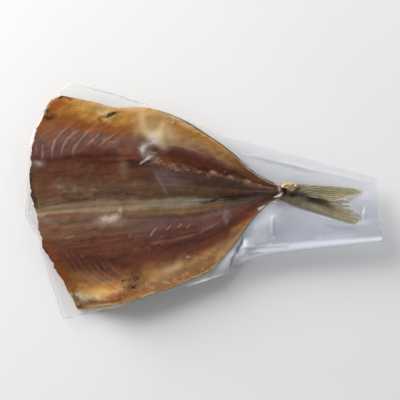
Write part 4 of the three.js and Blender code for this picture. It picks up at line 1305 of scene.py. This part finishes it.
class PACKEDFISH_OT_flesh(bpy.types.Operator):
    """Models both fillets, cut side up, as one closed piece"""

    bl_idname = "packed_fish.flesh"
    bl_label = "Cured Flesh"

    edge_power = 12
    muscle_fades = (0.42, 0.6)
    cleft_depth = 0.2
    relief_limits = (-0.4, 0.35)
    skin_share = 0.8
    least_flesh = 0.4
    core_share = 0.4
    blunt_share = 0.3
    sharpest_end = 0.002

    def execute(self, context):
        sizes = context.scene.packed_fish_sizes
        piece = closed_sheet("cured_flesh", FLESH_GRIDS)
        t, v, top = sheet_places(piece)
        x, y = self.plan(t, v)
        masks = self.masks(x, y, v)
        relief = self.relief(x, y, v, masks, sizes.rib_height / MM)
        y, z = self.heights(FishForm(sizes), x, y, v, top, relief)
        set_flow(piece, x, v)
        for name, mask in masks.items():
            set_mask(piece, name, mask)
        set_points(piece, x, y, z)
        finish_piece(piece, cured_flesh(context.scene.packed_fish_colours))
        return {"FINISHED"}

    def plan(self, t, v):
        """Plan of the flesh: ragged at the head cut, drawn in a little from the belly edges."""
        x = blend(head_cut(v), FLESH_END, t)
        ragged = 0.5 * soft_noise(v * 21, t * 0, seed=1) + 0.3 * soft_noise(v * 60, t * 0, seed=2)
        x = x + (1 - rise(t, 0, RAGGED_SHARE)) * ragged
        inset = blend(*EDGE_INSET, rise(x, *INSET_GROWS) * (v > 0)) + 0.25 * soft_noise(x / 3, v, seed=3)
        return x, place_across(x, v) - np.sign(v) * np.abs(v) ** self.edge_power * inset

    def masks(self, x, y, v):
        """Where each kind of mark lies: strokes, lower ribs, strewn flecks and the belly's rims."""
        near_x, near_y = wander(x, y, seed=40)
        masks = {name: marks(near_x, near_y, runs) for name, runs in STROKES.items()}
        steady_x, steady_y = blend(x, near_x, STEADY_SHARE), blend(y, near_y, STEADY_SHARE)
        for name in STEADY_MARKS:
            masks[name] = marks(steady_x, steady_y, STROKES[name])
        more = [("rib_line", marks(steady_x, steady_y, lower_ribs()))]
        for seed, (name, *spec) in enumerate(STREWN, STREWN_SEED):
            more.append((name, marks(x, y, strewn(*spec, seed))))
        for name, mask in more + self.upper_rim(x, v) + self.lower_rim(x, v):
            masks[name] = np.maximum(masks[name], mask)
        return masks

    def upper_rim(self, x, v):
        """Pale rim of the upper belly edge, narrower towards the tail: dried flesh, partly a painted
        highlight.
        """
        from_edge = (1 - v) * half_width(x, v) / blend(1, 0.5, rise(x, *UPPER_PALE_NARROWS))
        pale = np.exp(-(((from_edge - 1.3) / 0.6) ** 2)) * band(x, *UPPER_PALE)
        pale = pale * (0.6 + 0.5 * soft_noise(x / 3, v, seed=9))
        return [("cream", 0.4 * pale), ("fat", pale)]

    def lower_rim(self, x, v):
        """Pale rim of the lower belly edge, and the frill of pale and rusty folds beside it."""
        from_edge = (1 + v) * half_width(x, v)
        pale = np.exp(-(((from_edge - 0.5) / 0.6) ** 2)) * band(x, *LOWER_PALE)
        waves = np.cos(from_edge * 3.4 + 1.5 * soft_noise(x / 5, v, seed=10))
        broken = 0.6 + 0.6 * soft_noise(x / 4, from_edge, seed=11)
        frill = waves * np.exp(-((from_edge / FRILL_WIDTH) ** 2)) * band(x, *FRILL) * broken
        pale_folds, rusty_folds = np.clip(frill, 0, 1), np.clip(-frill, 0, 1)
        return [("cream", 0.65 * pale), ("cream", 0.4 * pale_folds), ("rust", 0.6 * rusty_folds)]

    def relief(self, x, y, v, masks, rib_height):
        """Height of the uneven surface: bumps, bundles of muscle, ribs that stand out and clefts."""
        muscle = 1 - rise(np.abs(v), *self.muscle_fades)
        relief = bumps(x, y, FLESH_BUMPS, seed=6)
        relief += muscle * 0.14 * soft_noise(x / 16, v * 34, seed=8)
        relief += rib_height * (masks["rib_line"] + masks["fleck"] + masks["fat"])
        return np.clip(relief - self.cleft_depth * masks["dark_line"], *self.relief_limits)

    def heights(self, form, x, y, v, top, relief):
        """Places across and heights of the points, drawn together where the flesh ends in the tail root."""
        base = form.lift(x, v) + form.skin * self.skin_share
        surface = form.top(x, v) - form.gap + relief
        past = (x - ROUNDING_X) / (FLESH_END - ROUNDING_X)
        end = np.where(past > 0, np.sqrt(np.clip(1 - past**2, self.sharpest_end, 1)), 1)
        core = base + self.core_share * np.maximum(surface - base, self.least_flesh)
        y = blend(midline(x), y, blend(self.blunt_share, 1, end))
        return y, blend(core, np.where(top, np.maximum(surface, base + self.least_flesh), base), end)


class PACKEDFISH_OT_skin(bpy.types.Operator):
    """Models the skin under the flesh as a thin closed piece"""

    bl_idname = "packed_fish.skin"
    bl_label = "Skin"

    head_inset = 0.3
    past_rounding = 2

    def execute(self, context):
        form = FishForm(context.scene.packed_fish_sizes)
        piece = closed_sheet("fish_skin", SKIN_GRIDS)
        t, v, top = sheet_places(piece)
        x = blend(head_cut(v) + self.head_inset, ROUNDING_X + self.past_rounding, t)
        set_flow(piece, x, v)
        from_edge = (1 - np.abs(v)) * half_width(x, v)
        set_mask(piece, "rim", (1 - rise(from_edge, *SKIN_RIM)) * rise(x, *SKIN_RIM_COMES) * (v > 0))
        set_points(piece, x, place_across(x, v), form.lift(x, v) + np.where(top, form.skin, 0))
        finish_piece(piece, fish_skin(context.scene.packed_fish_colours))
        return {"FINISHED"}


def lobe_place(lobe, along, across):
    """Plan of a place in a lobe: along from root to trailing edge, across from upper to lower margin."""
    x = blend(FIN_ROOT_X, curve_through(lobe["end"])(across), along)
    return x, blend(curve_through(lobe["upper"])(x), curve_through(lobe["lower"])(x), across)


def lobe_height(form, lobe, x):
    """Height of a lobe's middle: out of the thick tail root, then near the skin side."""
    at_root, further = LOBE_RISES
    return form.lift(x, 0 * x) + blend(at_root, further + lobe["rise"], rise(x, *LOBE_SETTLES))


class PACKEDFISH_OT_tail_fin(bpy.types.Operator):
    """Models the forked tail fin: two webs, each with its fan of rays"""

    bl_idname = "packed_fish.tail_fin"
    bl_label = "Tail Fin"

    draw_seed = 23
    web_half = 0.14
    web_reach = 0.9
    tear_depth = 0.07
    tears = 16
    ray_half = 0.3
    ray_reaches = (0.94, 1.04)
    ray_bends = (-0.5, 0.5)
    ray_breadths = (0.45, 0.65)
    ray_shares = (0.55, 1)
    tone_spread = 0.25
    fork_comes = (0.06, 0.18)
    root_shade = 0.4
    root_fades = (0.02, 0.14)
    shade_fades = (0.2, 0.55)

    def execute(self, context):
        sizes = context.scene.packed_fish_sizes
        form = FishForm(sizes)
        draw = np.random.default_rng(self.draw_seed)
        pieces = []
        for lobe in (UPPER_LOBE, LOWER_LOBE):
            pieces.append(self.web(form, lobe, draw))
            for i in range(sizes.rays):
                pieces.append(self.ray(form, lobe, (i + 0.5) / sizes.rays, 0.5 / sizes.rays, draw))
        bpy.ops.object.select_all(action="DESELECT")
        for part in pieces:
            part.select_set(True)
        context.view_layer.objects.active = pieces[0]
        bpy.ops.object.join()
        pieces[0].name = pieces[0].data.name = "tail_fin"
        finish_piece(pieces[0], fin_finish(context.scene.packed_fish_colours))
        return {"FINISHED"}

    def web(self, form, lobe, draw):
        """Thin skin between the rays, torn at its trailing edge."""
        part = closed_sheet("web", MEMBRANE_GRIDS)
        t, v, top = sheet_places(part)
        across = (v + 1) / 2
        ragged = soft_noise(across * self.tears, across * 0, seed=int(draw.integers(1000)))
        torn = self.web_reach + self.tear_depth * ragged
        x, y = lobe_place(lobe, t * torn, across)
        z = lobe_height(form, lobe, x) + np.where(top, self.web_half, -self.web_half)
        self.mask(part, lobe, t * torn, 0.3 * rise(t, 0.5, 0.95), across, lobe["tone"])
        set_points(part, x, y, z)
        return part

    def ray(self, form, lobe, across, half, draw):
        """One tapering ray along the web, bent a little out of its line."""
        part = closed_sheet("ray", RAY_GRIDS)
        t, v, top = sheet_places(part)
        reach = draw.uniform(*self.ray_reaches)
        bend = half * draw.uniform(*self.ray_bends) * rise(t, 0.4, 1)
        breadth = half * draw.uniform(*self.ray_breadths) * (1 - 0.3 * t)
        x, y = lobe_place(lobe, t * reach, across + bend + v * breadth)
        tall = self.ray_half * (1 - 0.4 * t) * np.sqrt(np.clip(1 - 0.9 * v * v, 0, 1))
        z = lobe_height(form, lobe, x) + np.where(top, tall, -tall)
        tone = np.clip(lobe["tone"] + draw.normal(0, self.tone_spread), 0, 1)
        horn = draw.uniform(*self.ray_shares) * (1 - 0.3 * np.abs(v))
        self.mask(part, lobe, t * reach, horn, across + 0 * t, tone)
        set_points(part, x, y, z)
        return part

    def mask(self, part, lobe, t, ray, across, tone):
        """Where the rays are, how tan they are, and where the fin is dark at its root and fork, partly by
        painted shade.
        """
        dark = curve_through(lobe["dark"])(across)
        fork = dark * blend(self.root_shade, 1, rise(t, *self.fork_comes)) * (1 - rise(t, *lobe["fades"]))
        shaded = lobe["shaded"] * (1 - rise(t, *self.shade_fades))
        root = np.maximum(self.root_shade * (1 - rise(t, *self.root_fades)), shaded)
        set_mask(part, "ray", ray)
        set_mask(part, "tone", tone + 0.5 * soft_noise(t * 5, across * 2.5, seed=88))
        set_mask(part, "root", np.maximum(root, fork))
        set_mask(part, "fin_stain", marks(*lobe_place(lobe, t, across), FORK_STAIN))


class PACKEDFISH_OT_knob(bpy.types.Operator):
    """Models the lump of dried flesh at the root of the upper lobe"""

    bl_idname = "packed_fish.knob"
    bl_label = "Tail Root Knob"

    def execute(self, context):
        form = FishForm(context.scene.packed_fish_sizes)
        bpy.ops.object.select_all(action="DESELECT")
        bpy.ops.mesh.primitive_uv_sphere_add(segments=48, ring_count=28, radius=1)
        piece = context.object
        piece.name = piece.data.name = "tail_root_knob"
        x, y, z = points_of(piece)

        # The ball grows lumpy, thins towards the tail, and is flatter on its lower side apart from one bulge
        lump = 1 + 0.34 * soft_noise(x * 1.6 + 9, y * 1.6 + z * 1.6 + 9, seed=86)
        lump += 0.2 * soft_noise(x * 4 + 9, y * 4 + z * 3 + 9, seed=82) - 0.12 * x
        y = np.where(y < 0, y * (0.5 + 1.1 * np.exp(-(((x - 0.1) / 0.4) ** 2))), y)

        out_x, out_y, up = (value * half * lump for value, half in zip((x, y, z), KNOB_HALF))
        x, y = KNOB_X + out_x, KNOB_Y + out_y
        z = form.lift(x, 0 * x) + KNOB_RISE + KNOB_SLOPE * out_x + up
        set_flow(piece, x, 0 * x + KNOB_V)
        set_mask(piece, "knob", 0.84 + 0.5 * soft_noise(x * 1.5, y * 1.5, seed=83))
        set_points(piece, x, y, z)
        finish_piece(piece, cured_flesh(context.scene.packed_fish_colours))
        return {"FINISHED"}


def rim_of_bag(count):
    """Left, right, lower and upper rim of the bag as rows of x, y, with the sides' places spread evenly."""
    v = np.linspace(-1, 1, RIM_STEPS)
    turn = np.sign(v) * rise(np.abs(v), *CORNER_TURNS) * CORNER_SPREAD
    x = head_cut(v)
    left = np.stack((x + left_margin(v), place_across(x, v) + turn), axis=1)
    left = np.concatenate((LOWER_RIM[:1], left, UPPER_RIM[:1]))
    run = np.concatenate(([0], np.cumsum(np.hypot(*np.diff(left, axis=0).T))))
    even = np.linspace(0, run[-1], count[1] + 1)
    left = np.stack([np.interp(even, run, left[:, k]) for k in (0, 1)], axis=1)
    share = np.linspace(0, 1, count[1] + 1)[:, None]
    right = blend(np.array(LOWER_RIM[-1]), np.array(UPPER_RIM[-1]), share)
    lower_x = np.linspace(LOWER_RIM[0][0], LOWER_RIM[-1][0], count[0] + 1)
    upper_x = np.linspace(UPPER_RIM[0][0], UPPER_RIM[-1][0], count[0] + 1)
    lower = np.stack((lower_x, lower_rim(lower_x)), axis=1)
    upper = np.stack((upper_x, upper_rim(upper_x)), axis=1)
    return left, right, lower, upper


def bag_plan(count):
    """Plan of a grid of places that fills the bag's rim."""
    left, right, lower, upper = rim_of_bag(count)
    s = np.linspace(0, 1, count[0] + 1)[:, None, None]
    w = np.linspace(0, 1, count[1] + 1)[None, :, None]
    ends = blend(left[None], right[None], s)
    sides = blend(lower[:, None], upper[:, None], w)
    corners = blend(blend(left[0], left[-1], w), blend(right[0], right[-1], w), s)
    return np.moveaxis(ends + sides - corners, 2, 0)


class FilmLevels:
    """Plan of one side of the film, and the heights that the fish and the rim give it."""

    def __init__(self, form, rim_height, count):
        self.x, self.y = bag_plan(count)
        self.v = across_at(self.x, self.y)
        v_on = np.clip(self.v, -1, 1)
        cut, tail = head_cut(v_on), tail_end(v_on)
        self.inside = (np.abs(self.v) <= 1) & (self.x >= cut) & (self.x <= tail)
        past_edge = np.maximum(np.abs(self.v) - 1, 0) * half_width(self.x, self.v)
        self.away = np.hypot(np.maximum(cut - self.x, 0), past_edge)
        x_on = np.clip(self.x, cut, tail)
        self.lift, self.top = form.lift(x_on, v_on), form.top(x_on, v_on)
        self.rim = self.rim_levels(rim_height)

    def rim_levels(self, rim_height):
        """Height of the rim, after the fish's edge beside it."""
        x, lower_half = self.x, self.v < 0
        follow = blend(*RIM_FOLLOWS, lower_half * (1 - rise(x, *FOLLOWING_FADES)))
        tail_rise = TAIL_RIM_RISE * blend(UPPER_RIM_SHARE, 1, rise(self.y, *LOWER_SIDE_COMES))
        corner_rise = CORNER_RIM_RISE * lower_half * (1 - rise(x, *CORNER_RIM_FADES))
        return rim_height + follow * self.lift + tail_rise * rise(x, *TAIL_RIM_COMES) + corner_rise


def settled(height, low, high, rounds):
    """Heights of a film that lies between two limits, smoothed while its rim is held."""
    for _ in range(rounds):
        around = height[:-2, 1:-1] + height[2:, 1:-1] + height[1:-1, :-2] + height[1:-1, 2:]
        height[1:-1, 1:-1] = around / 4
        np.clip(height, low, high, out=height)
    return height


def hull_above(place, height):
    """Heights of a string drawn tight over the points, from the first to the last."""
    kept = []
    for i in range(len(place)):
        while len(kept) > 1:
            a, b = kept[-2], kept[-1]
            rise_ab = (height[b] - height[a]) * (place[i] - place[a])
            if rise_ab > (height[i] - height[a]) * (place[b] - place[a]):
                break
            kept.pop()
        kept.append(i)
    return np.interp(place, place[kept], height[kept])


def stretched(y, height):
    """Film drawn tight across the bag, column by column."""
    return np.stack([hull_above(y[column], height[column]) for column in range(len(height))])


def roll_share(x, y):
    """How much a place belongs to the roll along the lower rim."""
    off = y - lower_rim(x) - curve_through(ROLL_PLACE)(x)
    return rise(x, *ROLL_STARTS) * np.exp(-((off / curve_through(ROLL_HALF)(x)) ** 2))


def crease_heights(x, y):
    """Ridges and grooves of the film, its rolled edge and the pocket of air beside the lower belly."""
    height = ROLL_HEIGHT * roll_share(x, y)
    height += POCKET_HEIGHT * np.exp(-((distance_to(x, y, *POCKET)[0] / POCKET_HALF) ** 2))
    for start, end, tall, half in CREASES:
        off, share = distance_to(x, y, start, end)
        height += tall * band(share, *CREASE_ENDS) * np.exp(-((off / half) ** 2))
    return height


class PACKEDFISH_OT_film_bag(bpy.types.Operator):
    """Models the clear bag: film drawn over the flesh and under the skin, closed at its rim"""

    bl_idname = "packed_fish.film_bag"
    bl_label = "Film Bag"

    sharp_degrees = 89
    rim_share = 0.001
    fold_dims = 0.7
    glint_cools = 0.75
    least_milky = 0.01

    def execute(self, context):
        piece = closed_sheet("film_bag", FILM_GRIDS)
        t, v, top = sheet_places(piece)
        x, y, z = self.places(context.scene.packed_fish_sizes, t, v, top)
        rim = (t < self.rim_share) | (t > 1 - self.rim_share) | (np.abs(v) > 1 - self.rim_share)
        for name, mask in self.masks(x, y, v, top, rim).items():
            set_mask(piece, name, mask)
        set_points(piece, x, y, z)
        film = clear_film(context.scene.packed_fish_colours)
        finish_piece(piece, film, self.sharp_degrees)
        return {"FINISHED"}

    def places(self, sizes, t, v, top):
        """Where the points of both sides go."""
        form, rim_height = FishForm(sizes), sizes.rim_height / MM
        upper, lower = self.upper(form, rim_height), self.lower(form, rim_height)
        places = np.empty((3, len(t)))
        for side, on_side, count in ((upper, top, FILM_GRIDS[0]), (lower, ~top, FILM_GRIDS[1])):
            column = np.rint(t[on_side] * count[0]).astype(int)
            row = np.rint((v[on_side] + 1) / 2 * count[1]).astype(int)
            places[:, on_side] = side[:, column, row]
        return places

    def masks(self, x, y, v, top, rim):
        """Where the film is milky, with its painted sheen, glints and highlights, where it lies double, where
        it is on the fish, and where it folds, with shade painted into the folds.
        """
        near = wander(x, y, seed=60)
        on_fish = across_at(x, y)
        past_tail = rise(x - tail_end(np.clip(on_fish, -1, 1)), *TAIL_ENDS)
        off_fish = np.maximum(rise(np.abs(on_fish), *FISH_ENDS), past_tail)
        doubled, deep = within(x, y, DOUBLED, DOUBLED_SOFT), rise(y, *DOUBLED_DEEPENS)

        # Milkiness, with the painted sheen over the fish and the painted highlights beside it
        plain = blend(MARGIN_HAZE, blend(*DOUBLED_HAZE_AND_REFLECTION, deep), doubled)
        free = np.maximum(plain, marks(*near, FREE_HAZE_AND_HIGHLIGHTS, layered=True)) * off_fish
        haze_and_sheen = np.maximum(free, marks(*near, PAINTED_FILM_SHEEN, layered=True))
        haze_and_sheen = np.maximum(haze_and_sheen, ROLL_HAZE_AND_HIGHLIGHT * roll_share(x, y))
        haze_and_sheen = haze_and_sheen * (0.92 + 0.12 * soft_noise(x / 16, y / 5, seed=70))
        haze_and_sheen = np.maximum(haze_and_sheen, RIM_HAZE_AND_HIGHLIGHT * rim * (0.7 + 0.3 * soft_noise(x / 6, y / 6, seed=71)))
        patchy = 0.85 + 0.25 * soft_noise(x / 1.6, y / 1.6, seed=72)
        glints = marks(*near, FILM_GLINTS, layered=True) * patchy
        shaded_rim = rim & (v < RIM_FOLD_BELOW) & (x < RIM_FOLD_BEFORE)
        folds = np.maximum(marks(*near, FILM_FOLDS_AND_SHADE), RIM_FOLD * shaded_rim)
        milky = np.clip(1 - (1 - haze_and_sheen) * (1 - glints), 0, 1) * (1 - self.fold_dims * folds)
        cool = np.clip(glints / np.maximum(milky, self.least_milky), 0, 1)

        layers = doubled * blend(*DOUBLED_SHARE, deep) * blend(DOUBLED_ON_FISH, 1, off_fish)
        layers += SINGLE_SHARE * (1 - doubled) * rise(x, *SINGLE_COMES) * off_fish
        return {
            "haze_and_sheen": np.where(top, milky, UNDERSIDE_HAZE * doubled * off_fish),
            "doubled": np.maximum(layers, OVER_FISH_SHARE * (1 - off_fish)),
            "over_fish": (1 - off_fish) * (1 - self.glint_cools * cool),
            "fold": folds * top,
        }

    def upper(self, form, rim_height):
        """Upper film: over the fish, creased where it is free."""
        film = FilmLevels(form, rim_height, FILM_GRIDS[0])
        x, y, rim = film.x, film.y, film.rim + RIM_HALF
        low = np.where(film.inside, film.top, LEAST_HEIGHT)
        taut = stretched(y, np.where(film.inside, film.top, rim))
        start = np.where(film.inside, blend(film.top, taut, TIGHTNESS), taut)
        height = settled(start, low, np.inf, UPPER_ROUNDS)
        cling = np.exp(-np.maximum(film.away - CLING_FROM, 0) / CLING_OVER)
        cling = blend(cling, 1, rise(x, *CLING_FADES))
        height = np.maximum(blend(rim, height, cling), low)
        slack = bumps(x, y, FILM_BUMPS, seed=31) * (1 - roll_share(x, y))
        free = np.ones_like(x)
        free[[0, -1], :] = 0
        free[:, [0, -1]] = 0
        return np.stack((x, y, np.maximum(height + free * (crease_heights(x, y) + slack), low)))

    def lower(self, form, rim_height):
        """Lower film: under the fish, down to the surface."""
        film = FilmLevels(form, rim_height, FILM_GRIDS[1])
        below = np.maximum(film.lift - GAP_BELOW, GAP_OFF_SURFACE)
        high = np.where(film.inside, below, np.inf)
        taut = -stretched(film.y, -np.where(film.inside, below, film.rim - RIM_HALF))
        return np.stack((film.x, film.y, settled(taut, GAP_OFF_SURFACE, high, LOWER_ROUNDS)))


class PACKEDFISH_OT_stage(bpy.types.Operator):
    """Sets the tabletop, the soft light and the camera straight above"""

    bl_idname = "packed_fish.stage"
    bl_label = "Stage"

    floor_side = 3.0
    floor_drop = 0.2 * MM
    key_place = (-1.08, 1.02, 0.46)
    key_side = 1.25
    key_power = 56
    glow_fades = (0.6, 0.88)
    glow_levels = (0.6, 0.03)
    camera_height = 0.75
    flesh_level = 0.005
    view_width = 0.22
    view_centre = (-0.0019, 0.0)

    def execute(self, context):
        palette = context.scene.packed_fish_colours
        bpy.ops.object.select_all(action="DESELECT")
        bpy.ops.mesh.primitive_plane_add(size=self.floor_side, location=(0, 0, -self.floor_drop))
        floor = context.object
        floor.name = "tabletop"
        floor.data.materials.append(floor_finish(palette))
        self.softbox(context)
        context.scene.world = self.glow()
        context.scene.view_settings.view_transform = "Standard"
        bpy.ops.object.camera_add(location=(*self.view_centre, self.camera_height), rotation=(0, 0, 0))
        camera = context.object
        camera.name = "camera_above"
        distance = self.camera_height - self.flesh_level
        camera.data.lens = camera.data.sensor_width * distance / self.view_width
        context.scene.camera = camera
        return {"FINISHED"}

    def softbox(self, context):
        """Square area light turned to the object."""
        bpy.ops.object.light_add(type="AREA", location=self.key_place)
        light = context.object
        light.name = "key_softbox"
        light.data.size = self.key_side
        light.data.energy = self.key_power
        light.rotation_mode = "QUATERNION"
        light.rotation_quaternion = (-light.location).to_track_quat("-Z", "Y")

    def glow(self):
        """Pale light all round that is dark overhead, so that flat film shows no reflection from above."""
        studio = Finish(bpy.data.worlds.new("studio"))
        aim = studio.add("TexCoord", output="Generated")
        up = studio.add("SeparateXYZ", {"Vector": aim}, output="Z")
        (low, high), (around, overhead) = self.glow_fades, self.glow_levels
        fade = {"Value": up, "From Min": low, "From Max": high, "To Min": around, "To Max": overhead}
        strength = studio.add("MapRange", fade, interpolation_type="SMOOTHSTEP")
        return studio.show(studio.add("Background", {"Color": WHITE, "Strength": strength}), "OutputWorld")


class PACKEDFISH_PT_panel(bpy.types.Panel):
    """Lists the pieces with their sizes and colours"""

    bl_idname = "PACKEDFISH_PT_panel"
    bl_label = "Packed Horse Mackerel"
    bl_space_type = "VIEW_3D"
    bl_region_type = "UI"
    bl_category = "Packed Fish"

    def draw(self, context):
        layout = self.layout
        for group in (context.scene.packed_fish_sizes, context.scene.packed_fish_colours):
            box = layout.box()
            for name in group.__annotations__:
                box.prop(group, name)
        for operator in OPERATORS:
            layout.operator(operator.bl_idname)


OPERATORS = (
    PACKEDFISH_OT_flesh,
    PACKEDFISH_OT_skin,
    PACKEDFISH_OT_tail_fin,
    PACKEDFISH_OT_knob,
    PACKEDFISH_OT_film_bag,
    PACKEDFISH_OT_stage,
)
CLASSES = (PackedFishSizes, PackedFishColours, *OPERATORS, PACKEDFISH_PT_panel)


def register():
    """Registers the classes and the scene's two groups of properties."""
    for cls in CLASSES:
        bpy.utils.register_class(cls)
    bpy.types.Scene.packed_fish_sizes = PointerProperty(type=PackedFishSizes)
    bpy.types.Scene.packed_fish_colours = PointerProperty(type=PackedFishColours)


def unregister():
    """Takes the properties and classes away again."""
    del bpy.types.Scene.packed_fish_colours
    del bpy.types.Scene.packed_fish_sizes
    for cls in reversed(CLASSES):
        bpy.utils.unregister_class(cls)


def main():
    """Builds every piece in order."""
    register()
    bpy.ops.packed_fish.flesh()
    bpy.ops.packed_fish.skin()
    bpy.ops.packed_fish.tail_fin()
    bpy.ops.packed_fish.knob()
    bpy.ops.packed_fish.film_bag()
    bpy.ops.packed_fish.stage()


if __name__ == "__main__":
    main()
